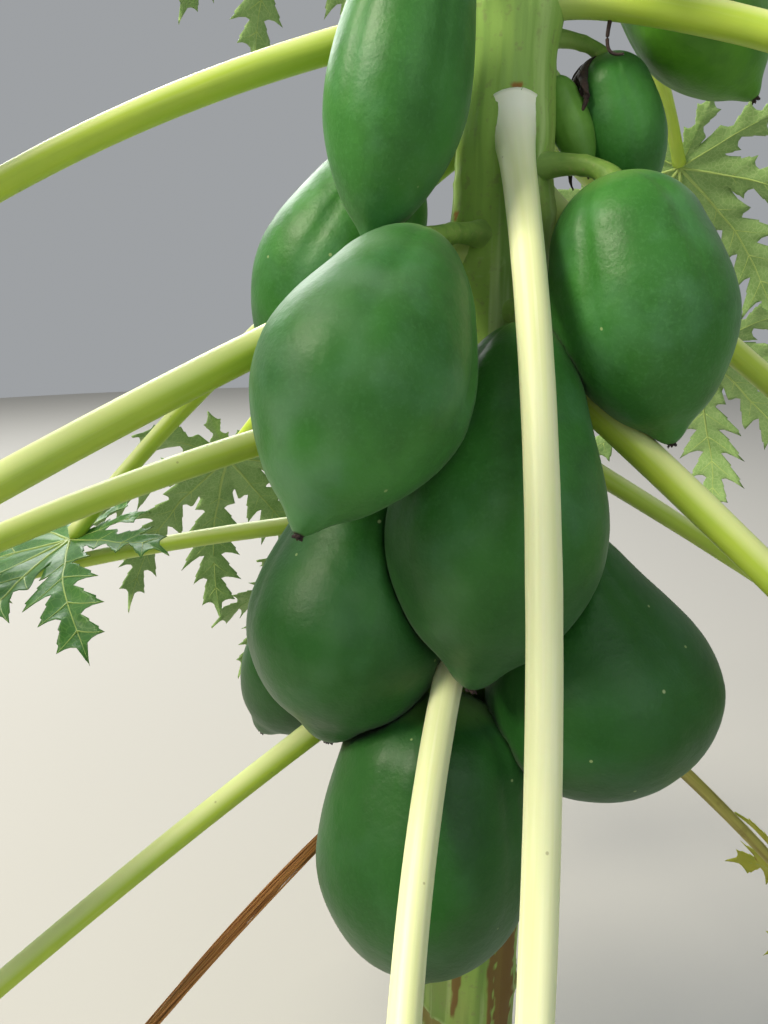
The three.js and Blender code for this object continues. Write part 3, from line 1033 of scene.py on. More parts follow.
@dataclass
class Blade:
    """A palmate blade: main lobes round a hub, each cut into pointed side lobes, with pale ribs."""

    length: float
    hub: Vector
    turn: Quaternion
    seed: int
    thickness: float = 0.6
    angles: tuple[float, ...] = (-155.0, -120.0, -76.0, -37.0, 0.0, 37.0, 76.0, 120.0, 155.0)
    sizes: tuple[float, ...] = (0.34, 0.56, 0.78, 0.94, 1.0, 0.94, 0.78, 0.56, 0.34)
    teeth: tuple[int, ...] = (2, 3, 4, 5, 5, 5, 4, 3, 2)
    web_rows: int = 5
    tip_rows: int = 5
    columns: int = 5  # faces from the rib to the edge
    toothed: float = 0.86  # share of the way from the webs to the tip that has side lobes
    droop: tuple[float, float] = (0.95, 1.22)  # limits of how a lobe bends down, against the rule
    sway: float = 7.0  # degrees that its tip leans aside at most
    jitter: tuple[float, float] = (0.8, 1.08)  # limits of a side lobe's length, against the rule
    sweep: float = 0.8  # how far side lobes point forward, against how far they reach aside
    bow: float = 0.22  # how far side ribs bow forward
    root: float = 0.04  # the least share of the main rib below the first side lobe
    settle: float = 0.08  # share of the way in which the outline comes in from the webs
    wedge: float = 0.9  # how much of the angle up to its neighbour a lobe may fill
    wedge_room: float = 0.3  # keeps that finite where side lobes run along its edge
    wedge_end: float = 0.6  # share of the way up to which the wedge holds
    lean_in: float = 1.4  # how soon a lobe leans aside
    fold: float = 0.16  # rise of a lobe's halves from its rib
    fold_loss: float = 0.5  # how much of the fold is lost at the tip
    ripple: float = 0.012  # height of the waves between side ribs, against the blade's length
    crumple: float = 0.02  # height of its crumples, against its length
    crumple_size: float = 0.16
    crumple_seed: float = 3.1
    rib_lobe: float = 340.0  # length of the lobe that the ribs' radii below are for
    main_rib: tuple[float, float, float] = (3.1, 0.5, 0.7)  # radii at its ends, and how soon it thins
    side_rib: tuple[float, float, float] = (1.25, 0.35, 1.0)
    side_rib_share: float = 0.97  # how much of the way to the edge a side rib goes
    # A side lobe's outline: where along it, from one notch to the next, and how far out. Small teeth ride
    # on it.
    tooth: Table = (
        (-1.0, 0.0), (-0.74, 0.4), (-0.62, 0.36), (-0.34, 0.78), (-0.2, 0.74), (0.0, 1.0), (0.24, 0.52),
        (0.58, 0.2),
    )
    # How far side lobes reach aside, and how much blade is left along the rib between them.
    reach: Table = ((0.0, 0.12), (0.3, 0.2), (0.55, 0.175), (0.8, 0.095), (1.0, 0.0))
    waist: Table = ((0.0, 0.05), (0.3, 0.055), (0.8, 0.035), (1.0, 0.0))
    lobes: list[Lobe] = field(init=False)

    def __post_init__(self) -> None:
        """Draws the lobes' own variations."""
        draw = random.Random(self.seed)
        count = len(self.angles)
        webs = []
        for i in range(count):
            after = (i + 1) % count
            span = (self.angles[after] - self.angles[i]) % 360.0
            notch = SINUS * self.length * (self.sizes[i] + self.sizes[after]) / 2.0
            webs.append(Web(math.radians(span / 2.0), STALK_SINUS * self.length if after == 0 else notch))
        self.lobes = []
        for i, (angle, size, teeth) in enumerate(zip(self.angles, self.sizes, self.teeth)):
            droop = draw.uniform(*self.droop)
            sway = draw.uniform(-self.sway, self.sway)
            jitter = tuple((draw.uniform(*self.jitter), draw.uniform(*self.jitter)) for _ in range(teeth))
            joins = (webs[i - 1], webs[i])
            self.lobes.append(Lobe(angle, self.length * size, joins, droop, sway, teeth, jitter))

    def _rows(self, lobe: Lobe) -> list[Row]:
        """Lists a lobe's rows beyond its webs.

        Args:
            lobe: The lobe.

        Returns:
            The rows, in order.
        """
        span = self.toothed / lobe.teeth
        rows = []
        for number in range(lobe.teeth):
            middle = span * (number + 0.5)
            rows += [(middle + at * span / 2.0, full, number) for at, full in self.tooth]
        rows = rows[1:]  # the first lies on the webs' last row
        for i in range(self.tip_rows + 1):
            rows.append((mix(self.toothed, 1.0, i / self.tip_rows), 0.0, lobe.teeth - 1))
        return rows

    def _edge(self, lobe: Lobe, side: int, row: Row) -> float:
        """Works out how far aside a lobe's outline lies beyond the webs.

        Args:
            lobe: The lobe.
            side: 0 for its right side, 1 for its left.
            row: The row.

        Returns:
            The distance from its rib.
        """
        share, full, number = row
        web = lobe.webs[side]
        start = web.notch * math.sin(web.half)
        waist = mix(start, between(self.waist, share) * lobe.length, ease(share / self.settle))
        span = self.toothed / lobe.teeth
        out = between(self.reach, span * (number + 0.5)) * lobe.length * lobe.jitter[number][side]
        aside = waist + (max(out, waist) - waist) * full
        if share >= self.wedge_end:
            return aside
        room = self.wedge * math.tan(web.half)
        rib = self._rib_share(lobe, share) * lobe.length
        return min(aside, room * rib / max(1.0 - room * self.sweep, self.wedge_room))

    def _rib_share(self, lobe: Lobe, share: float) -> float:
        """Works out where on the rib a row starts.

        Args:
            lobe: The lobe.
            share: The row's share of the way from the webs to the tip.

        Returns:
            The share of the rib's length.
        """
        starts = [web.notch * (math.cos(web.half) - self.sweep * math.sin(web.half)) for web in lobe.webs]
        begin = max(sum(starts) / 2.0 / lobe.length, self.root)
        return mix(begin, 1.0, share)

    def _flat(self, lobe: Lobe, row: int, rows: Sequence[Row], across: float) -> Vector:
        """Places a point of a lobe on the flat.

        Args:
            lobe: The lobe.
            row: Its row, from the hub.
            rows: The rows beyond the webs.
            across: From -1 at the right edge to 1 at the left.

        Returns:
            Its place along and aside of the lobe, and its share of the half width.
        """
        side = 1 if across > 0 else 0
        sign = 1.0 if across > 0 else -1.0
        share = abs(across)
        web = lobe.webs[side]
        if row <= self.web_rows:
            out = row / self.web_rows
            rib = self._rib_share(lobe, 0.0) * lobe.length * out
            edge = Vector((web.notch * out * math.cos(web.half), web.notch * out * math.sin(web.half)))
        else:
            beyond = rows[row - self.web_rows - 1]
            rib = self._rib_share(lobe, beyond[0]) * lobe.length
            aside = self._edge(lobe, side, beyond)
            edge = Vector((rib + aside * self.sweep, aside))
        along = mix(rib, edge.x, share) + edge.y * self.bow * share * (1.0 - share)
        return Vector((along, sign * edge.y * share, share))

    def _drape(self, lobe: Lobe, flat: Vector, wave: float) -> Vector:
        """Bends a flat point down with its lobe and sets it on the tree.

        Args:
            lobe: The lobe.
            flat: The point's place along and aside of it, and its share of the half width.
            wave: Where between two side ribs it lies, from 0 on one to 1 on the next.

        Returns:
            Its place on the tree.
        """
        out = math.hypot(flat.x, flat.y)
        inner = SINUS * self.length
        beyond = clamp((out - inner) / (self.length - inner))
        angle = math.radians(lobe.angle + lobe.sway * ease(beyond * self.lean_in))
        angle += math.atan2(flat.y, flat.x)
        bent = max(out - inner, 0.0) / (self.length - inner)
        run, rise = arc(self.length - inner, BLADE_RISE, BLADE_FALL * lobe.droop, bent)
        reach = min(out, inner) + run
        lift = self.fold * abs(flat.y) * (1.0 - self.fold_loss * beyond)
        height = 0.5 - 0.5 * math.cos(math.tau * wave)
        lift += self.ripple * self.length * flat.z * height * ease(out / inner)
        spot = polar(angle, reach, rise + lift)
        place = spot / (self.length * self.crumple_size) + Vector((self.seed * self.crumple_seed, 0.0, 0.0))
        spot.z += noise.noise(place) * self.crumple * self.length * ease(out / inner)
        return self.hub + self.turn @ spot

    def _wave(self, lobe: Lobe, row: int, rows: Sequence[Row]) -> float:
        """Works out where between two side ribs a row lies.

        Args:
            lobe: The lobe.
            row: The row, from the hub.
            rows: The rows beyond the webs.

        Returns:
            From 0 on one side rib to 1 on the next.
        """
        if row <= self.web_rows:
            return 0.5 * row / self.web_rows
        way, _, _ = rows[row - self.web_rows - 1]
        return (way / (self.toothed / lobe.teeth) + 0.5) % 1.0 if way < self.toothed else 0.5

    def shape(self, piece: Piece, top: int, under: int, rib: int) -> None:
        """Adds the blade to a piece.

        Args:
            piece: The piece it is part of.
            top: The number of its upper finish there.
            under: The number of its lower finish.
            rib: The number of its ribs' finish.
        """
        old = set(piece.mesh.faces)
        plans = [(lobe, self._rows(lobe)) for lobe in self.lobes]
        sheet: Corners = []
        for lobe, rows in plans:
            sheet += self._sheet(piece, lobe, rows, top)
        bmesh.ops.remove_doubles(piece.mesh, verts=sheet, dist=SEAM)
        self._thicken(piece, [f for f in piece.mesh.faces if f not in old], under)
        for lobe, rows in plans:
            self._ribs(piece, lobe, rows, rib)

    def _thicken(self, piece: Piece, faces: Sequence[bmesh.types.BMFace], under: int) -> None:
        """Gives the sheet its thickness.

        Args:
            piece: The piece it is part of.
            faces: The sheet's faces, which become its underside.
            under: The number of the underside's finish.
        """
        corners = {v for face in faces for v in face.verts}
        for face in faces:
            face.normal_update()
        for corner in corners:
            corner.normal_update()
        drops = [(corner, corner.normal * self.thickness) for corner in corners]
        bmesh.ops.extrude_face_region(piece.mesh, geom=faces, use_keep_orig=True)
        for corner, drop in drops:
            corner.co -= drop
        for face in faces:
            face.material_index = under

    def _sheet(self, piece: Piece, lobe: Lobe, rows: Sequence[Row], finish: int) -> Corners:
        """Adds a lobe's sheet.

        Args:
            piece: The piece it is part of.
            lobe: The lobe.
            rows: The rows beyond the webs.
            finish: The number of its finish.

        Returns:
            The sheet's corners.
        """
        count = self.web_rows + len(rows)
        grains: list[Vector] = []

        def place(x: float, y: float) -> Vector:
            """Places a corner of the grid and notes its grain.

            Args:
                x: Its share of the way across, from the left edge.
                y: Its share of the rows.

            Returns:
                Its place.
            """
            row = round(y * count)
            flat = self._flat(lobe, row, rows, 1.0 - 2.0 * x)
            turn = math.radians(lobe.angle) + math.atan2(flat.y, flat.x)
            grains.append(polar(turn, math.hypot(flat.x, flat.y) * MM))
            return self._drape(lobe, flat, self._wave(lobe, row, rows))

        corners = piece.grid(2 * self.columns, count, place, finish)
        for corner, grain in zip(corners, grains):
            corner[piece.grain] = grain
        return corners

    def _ribs(self, piece: Piece, lobe: Lobe, rows: Sequence[Row], finish: int) -> None:
        """Adds a lobe's main rib and its side ribs.

        Args:
            piece: The piece it is part of.
            lobe: The lobe.
            rows: The rows beyond the webs.
            finish: The number of their finish.
        """
        count = self.web_rows + len(rows)
        size = lobe.length / self.rib_lobe
        middles = [self._drape(lobe, self._flat(lobe, row, rows, 0.0), 0.0) for row in range(count + 1)]
        piece.tube(Path(middles), taper(*self.main_rib, size), 6, 18, finish)
        for number in range(lobe.teeth):
            tip = next(i for i, (_, full, tooth) in enumerate(rows) if tooth == number and full == 1.0)
            row = self.web_rows + 1 + tip
            for sign in (-1.0, 1.0):
                spots = [self._flat(lobe, row, rows, sign * self.side_rib_share * i / 6.0) for i in range(7)]
                line = Path([self._drape(lobe, spot, 0.0) for spot in spots])
                piece.tube(line, taper(*self.side_rib, size), 5, 7, finish)


class Age(Enum):
    """How old a leaf is, which sets its finishes: top, underside, ribs and stalk, and the blade's slot."""

    YOUNG = (YOUNG_TOP, YOUNG_UNDER, RIB, STALK, "young_leaf")
    GROWN = (LEAF_TOP, LEAF_UNDER, RIB, STALK, "leaf")
    # a grown leaf whose stalk takes the pale skin with painted sunlight
    SUNNED = (LEAF_TOP, LEAF_UNDER, RIB, PALE_STALK, "leaf")
    OLD = (OLD_TOP, OLD_TOP, RIB, OLD_STALK, "leaf")


@dataclass(frozen=True)
class Fruit:
    """A papaya that hangs from the trunk by its own short stalk.

    Attributes:
        name: Its number.
        bearing: Bearing of its stem end.
        reach: How far its stem end is from the trunk's centre line.
        height: Height of its stem end.
        lean: How far it hangs from plumb, in degrees.
        towards: The bearing it leans towards.
        length: Its length.
        width: Its width at the belly.
        neck: The neck's width against the belly's.
        belly: Where along it the belly lies.
        blunt: The power that shapes its tip.
        turned: How far its grooves are turned on past its bearing.
    """

    name: str
    bearing: float
    reach: float
    height: float
    lean: float
    towards: float
    length: float
    width: float
    neck: float
    belly: float
    blunt: float
    turned: float = 0.0

    SHOULDER = 0.2  # share of its length in which its stem end rounds over
    RIDGES = 5
    GROOVE = 0.065  # depth of the grooves between the ridges, against its radius
    GROOVE_SHARPNESS = 6.0
    GROOVE_LOW = 0.35  # how much of that depth is left low on the fruit
    GROOVE_LOW_FROM = 0.6  # the share of its length where it is down to that
    GROOVE_END = 0.9  # the share where the grooves have run out
    GROOVE_RUN = 0.5  # the share of its length in which they run out
    RIDGE_SWELL = 0.02
    RIDGE_LEVEL = 0.3  # where between ridge and groove the swell is none
    PINCH = 0.19  # how far its tip is drawn in before the very end, against its radius
    PINCH_AT = 0.945
    PINCH_WIDTH = 0.045
    LUMPS = ((1.3, 0.016), (4.0, 0.005))  # how close together they are, and their height against its radius
    LUMP_STRETCH = 3.0
    SCAR_SIZE = (2.2, 0.014)  # size of the dark tip, in millimetres and against its width
    SCAR_EDGE = 1.6  # how far from the tip the scar has faded out, against that
    NECK_GREEN = 0.1  # the share of its length that is yellower round the stem end
    PAINTED_SHADE_FROM = 1200.0  # the rind is painted darker from this height down: painted shade from what hangs above
    PAINTED_SHADE_BLEND = 150.0
    BLOOM_AND_REFLECTION_SLOPE = 1.1  # how fast the bloom and painted sky reflection thicken towards the top side
    BLOOM_AND_REFLECTION = 0.6  # how much of it there is on the top side
    BLOOM_AND_REFLECTION_PATCH = 0.8  # how much that differs in patches
    BLOOM_AND_REFLECTION_PATCH_SIZE = 26.0
    NEAR = 3.0  # what comes closer than this may press on it
    STEPS = 12  # places looked at along it, and halvings when a corner is pressed in
    GAP = 0.4  # left between it and what presses on it
    DEEPEST_DENT = 0.7  # against the way to its middle
    CORE = (0.12, 0.88)  # the part of its length that its middle line spans
    SHREDS = 6
    SHRED_SIZE = (1.4, 0.012)  # in millimetres and against its width
    STALK_RADIUS = 8.0
    FULL_WIDTH = 168.0  # the width that the stalk's radius is for
    STRAIGHT_LEAN = 45.0  # lean of a fruit whose stalk no longer arches
    STALK_DROP = 0.18  # how far above the fruit the stalk's root is, against its arch
    STALK_CREST = 0.27  # how far over the stem end the stalk is drawn up, against its arch
    STALK_END = 8.0  # how far the stalk goes into the fruit
    STALK_PALE = 30.0  # how far the stalk's pale root reaches

    def down(self) -> Vector:
        """Returns the direction that it hangs in."""
        lean = math.radians(self.lean)
        return polar(math.radians(self.towards), math.sin(lean), -math.cos(lean))

    def stem(self) -> Vector:
        """Returns its stem end."""
        return around(self.bearing, self.reach, self.height)

    def middle(self, share: float) -> Vector:
        """Returns its middle at a share of its length."""
        return self.stem() + self.down() * (self.length * share)

    def matrix(self) -> Matrix:
        """Returns its place on the tree, with its length down its own -Z."""
        turn = (-UP).rotation_difference(self.down())
        return Matrix.Translation(self.stem()) @ turn.to_matrix().to_4x4()

    def radius(self, share: float) -> float:
        """Works out its mean radius.

        Args:
            share: The share of its length.

        Returns:
            The radius there.
        """
        shoulder = math.sqrt(clamp(1.0 - (1.0 - min(share / self.SHOULDER, 1.0)) ** 2))
        swell = math.sin(math.pi / 2.0 * min(share / self.belly, 1.0)) ** 2
        tip = math.pi / 2.0 * max((share - self.belly) / (1.0 - self.belly), 0.0)
        close = max(math.cos(tip), 0.0) ** self.blunt
        return self.width / 2.0 * shoulder * (self.neck + (1.0 - self.neck) * swell) * close

    def surface(self, share: float, angle: float) -> float:
        """Works out its radius with its grooves, lumps and pinched tip.

        Args:
            share: The share of its length.
            angle: The angle round it, in radians.

        Returns:
            The radius there.
        """
        first = math.radians(self.bearing + self.turned)
        seam = 1.0 - abs(math.sin(self.RIDGES * (angle - first) / 2.0))
        groove = -self.GROOVE * seam ** self.GROOVE_SHARPNESS
        groove *= mix(self.GROOVE_LOW, 1.0, ease(1.0 - share / self.GROOVE_LOW_FROM))
        groove *= ease((self.GROOVE_END - share) / self.GROOVE_RUN)
        swell = self.RIDGE_SWELL * (self.RIDGE_LEVEL - seam)
        pinch = -self.PINCH * hump(share - self.PINCH_AT, self.PINCH_WIDTH)
        spot = polar(angle, 1.0, share * self.LUMP_STRETCH)
        seed = Vector((self.height, self.bearing, 0.0))
        lumps = sum(height * noise.noise(spot * count + seed) for count, height in self.LUMPS)
        return self.radius(share) * (1.0 + groove + swell + pinch + lumps)

    def depth(self, point: Vector) -> float:
        """Works out how deep a point lies in the fruit.

        Args:
            point: The point.

        Returns:
            How far inside it is, below 0 outside.
        """
        spot = self.matrix().inverted() @ point
        share = -spot.z / self.length
        if not 0.0 < share < 1.0:
            return -1.0
        return self.radius(share) - math.hypot(spot.x, spot.y)

    def shape(
        self, piece: Piece, neighbours: Sequence[Fruit | Stalk] = (), sides: int = 72, rings: int = 64
    ) -> None:
        """Adds the fruit and its stalk to a piece.

        Args:
            piece: The piece it is part of.
            neighbours: What it is pressed against, which dents it.
            sides: Faces round it.
            rings: Faces down it.
        """
        scar, neck, bloom, painted_low_shade = (piece.layer(name) for name in ("scar", "neck", "bloom", "painted_low_shade"))
        corners = piece.turned(self.matrix(), self.surface, self.length, sides, rings)
        close = [n for n in neighbours if self._meets(n)]
        into = self.matrix().inverted()
        tip = self.middle(1.0)
        least, more = self.SCAR_SIZE
        for corner in corners:
            share = clamp(-(into @ corner.co).z / self.length)
            corner[scar] = ease(self.SCAR_EDGE - (corner.co - tip).length / (least + self.width * more))
            corner[neck] = ease(1.0 - share / self.NECK_GREEN)
            # painted shade: the rind is painted darker the lower it hangs
            corner[painted_low_shade] = ease((self.PAINTED_SHADE_FROM - corner.co.z) / self.PAINTED_SHADE_BLEND)
            # bloom and painted sky reflection, thicker on the sides that face up
            out = corner.co - self.middle(share)
            upward = out.normalized().dot(UP) if out.length > 1.0 else 0.0
            patch = self.BLOOM_AND_REFLECTION + self.BLOOM_AND_REFLECTION_PATCH * noise.noise(corner.co / self.BLOOM_AND_REFLECTION_PATCH_SIZE)
            corner[bloom] = ease(upward * self.BLOOM_AND_REFLECTION_SLOPE) * patch
            self._press(corner, share, close)
        self._stalk(piece)
        self._shreds(piece, tip)

    def _meets(self, other: Fruit | Stalk) -> bool:
        """Finds out whether something may be pressed against the fruit.

        Args:
            other: A fruit or a leaf stalk.

        Returns:
            Whether it comes near.
        """
        steps = [i / self.STEPS for i in range(self.STEPS + 1)]
        for share in steps:
            middle = self.middle(share)
            room = self.radius(share)
            if isinstance(other, Stalk):
                distance, at = other.path.near(middle)
                if distance < room + other.half(at) + self.NEAR:
                    return True
                continue
            for at in steps:
                if (other.middle(at) - middle).length < room + other.radius(at) + self.NEAR:
                    return True
        return False

    def _press(self, corner: bmesh.types.BMVert, share: float, close: Sequence[Fruit | Stalk]) -> None:
        """Moves a corner in towards the fruit's own middle until nothing presses on it.

        Args:
            corner: The corner.
            share: Its share of the fruit's length.
            close: What may press on it.
        """
        middle = self.middle(clamp(share, *self.CORE))
        for other in close:
            if other.depth(corner.co) <= -self.GAP:
                continue
            low, high = 0.0, self.DEEPEST_DENT
            for _ in range(self.STEPS):
                half = (low + high) / 2.0
                inside = other.depth(corner.co.lerp(middle, half)) > -self.GAP
                low, high = (half, high) if inside else (low, half)
            corner.co = corner.co.lerp(middle, high)

    def _shreds(self, piece: Piece, tip: Vector) -> None:
        """Adds the dried shreds of the flower that stay on the tip.

        Args:
            piece: The piece they are part of.
            tip: The fruit's tip.
        """
        draw = random.Random(int(self.height))
        down = self.down()
        side = down.orthogonal().normalized()
        least, more = self.SHRED_SIZE
        size = least + self.width * more
        for number in range(self.SHREDS):
            out = Quaternion(down, number * math.tau / self.SHREDS + draw.uniform(-0.4, 0.4)) @ side
            start = tip + out * (size * 0.7) - down * 1.0
            bend = out * draw.uniform(0.1, 0.7) + down * draw.uniform(0.6, 1.0)
            length = size * draw.uniform(0.5, 1.1)
            line = [start + bend * (length * i / 8.0) + out * (0.5 * math.sin(i * 1.3)) for i in range(9)]
            wide, thick = size * 0.6, size * 0.3
            piece.tube(Path(line), lambda share, _: (wide * (1.02 - share) ** 0.5, thick), 8, 10, 2)

    def _stalk(self, piece: Piece) -> None:
        """Adds the arched stalk from the trunk to the fruit's stem end.

        Args:
            piece: The piece it is part of.
        """
        arched = self.reach * (1.0 - self.lean / self.STRAIGHT_LEAN)
        height = self.height + arched * self.STALK_DROP
        root = around(self.bearing, trunk_radius(height) * ROOT_SINK, height)
        crest = self.stem() - self.down() * (arched * self.STALK_CREST)
        end = self.stem() + self.down() * self.STALK_END
        path = Path.through(24, lambda t: root * (1 - t) ** 2 + crest * (2 * t * (1 - t)) + end * t * t)
        plain = self.STALK_RADIUS * math.sqrt(self.width / self.FULL_WIDTH)

        def sizes(share: float, angle: float) -> tuple[float, float]:
            """Works out the stalk's thickness, with its flare, its joint and the cap on the fruit.

            Args:
                share: The share of its length.
                angle: The angle round it, in radians.

            Returns:
                Its half width and half height there.
            """
            flare = 1.5 * fade(share * path.length, 18.0)
            cap = 0.55 * hump((1.0 - share) * path.length, 11.0)
            joint = 0.1 * hump((share - 0.62) * path.length, 3.0)
            now = plain * (0.95 + flare + cap + joint + 0.03 * math.cos(5 * angle))
            return now, now

        base = piece.layer("base")
        for corner in piece.tube(path, sizes, 18, 34, 1):
            corner[base] = fade(corner[piece.grain].z / MM, self.STALK_PALE)


@dataclass(frozen=True)
class WitheredFlower:
    """The crumpled remains of a flower that cling to one side of a fruit.

    Attributes:
        fruit: The fruit they cling to.
        bearing: The side of it they lie on.
        begin: The share of its length where they start.
        end: The share where they end.
        droop: How far their ends hang clear of the fruit.
        strips: How many shrivelled petals there are.
    """

    fruit: Fruit
    bearing: float
    begin: float
    end: float
    droop: float
    strips: int = 5

    SPACING = 9.0  # degrees from one petal to the next
    SHORTER = 0.07  # how much sooner each petal ends than the one before, as a share of the fruit
    HALF_WIDTH = 3.0
    HALF_THICKNESS = 1.9

    def shape(self, piece: Piece, finish: int) -> None:
        """Adds the remains to a piece.

        Args:
            piece: The piece they are part of.
            finish: The number of their finish.
        """
        draw = random.Random(5)
        for number in range(self.strips):
            self._petal(piece, number, draw.uniform(0.0, math.tau), finish)

    def _petal(self, piece: Piece, number: int, wander: float, finish: int) -> None:
        """Adds one shrivelled petal.

        Args:
            piece: The piece it is part of.
            number: Its number.
            wander: Where its waves start, in radians.
            finish: The number of its finish.
        """
        angle = math.radians(self.bearing + (number - self.strips / 2.0) * self.SPACING)
        matrix = self.fruit.matrix()

        def place(t: float) -> Vector:
            """Places a point of the petal's middle line.

            Args:
                t: Its share of the line.

            Returns:
                Its place on the tree.
            """
            share = mix(self.begin, self.end - self.SHORTER * number, t)
            turn = angle + 0.14 * math.sin(wander + t * 7.0)
            reach = self.fruit.radius(share) * 1.02 + 2.4 + 1.8 * math.sin(wander * 2.0 + t * 13.0)
            reach += self.droop * t * t
            return matrix @ polar(turn, reach, -share * self.fruit.length)

        def sizes(share: float, angle: float) -> tuple[float, float]:
            """Works out the petal's crumpled thickness.

            Args:
                share: The share of its length.
                angle: The angle round it, in radians.

            Returns:
                Its half width and half height there.
            """
            body = math.sin(math.pi * clamp(share, 0.03, 0.97)) ** 0.5
            crumple = 1.0 + 0.35 * rough(share * 14.0, math.cos(angle), math.sin(angle) + wander)
            return self.HALF_WIDTH * body * crumple, self.HALF_THICKNESS * body * crumple

        piece.tube(Path.through(30, place), sizes, 12, 32, finish)


@dataclass(frozen=True)
class Scar:
    """The mark that a dropped leaf leaves on the trunk.

    Attributes:
        height: Height of its middle.
        bearing: Bearing of its middle.
        width: Half its width.
        tall: Half its height.
        rise: How far its lower rim stands out.
        is_bud: Whether it is the brown mark of a bud above a leaf and not that of a leaf.
    """

    height: float
    bearing: float
    width: float
    tall: float
    rise: float
    is_bud: bool = False

    NOTCH = 0.4  # depth and width of the notch in its upper edge, against its half height and half width
    FLAT = 1.5  # how much sooner it ends above its middle than below
    LIMIT = 2.4  # nothing of it reaches further than this from its middle, against its half width
    EDGE = 0.18
    RIM_WIDTH = 0.2
    LEDGE_AT = 0.9
    LEDGE_WIDTH = 0.8
    BUNDLE = 0.25  # height of the marks that its vein bundles leave, in millimetres

    def read(self, bearing: float, height: float, radius: float) -> tuple[float, float, float]:
        """Reads the scar at a point of the trunk.

        Args:
            bearing: The point's bearing.
            height: Its height.
            radius: The trunk's radius there.

        Returns:
            How far the surface is raised, and how much of it is scar and rim.
        """
        across = round_trunk(bearing, self.bearing, radius) / self.width
        up = (height - self.height) / self.tall + self.NOTCH * hump(across, self.NOTCH)
        away = math.hypot(across, up) if up < 0.0 else math.hypot(across, up * self.FLAT)
        if away > self.LIMIT:
            return 0.0, 0.0, 0.0
        inside = ease((1.0 - away) / self.EDGE)
        rim = hump(away - 1.0, self.RIM_WIDTH)
        ledge = hump(away - self.LEDGE_AT, self.LEDGE_WIDTH) * clamp(0.55 - 0.45 * up)
        bundles = self.BUNDLE * math.cos(across * 9.0) * inside if abs(up + 0.1) < 0.5 else 0.0
        return self.rise * (0.85 * ledge + 0.35 * rim - 0.3 * inside) + bundles, inside, rim


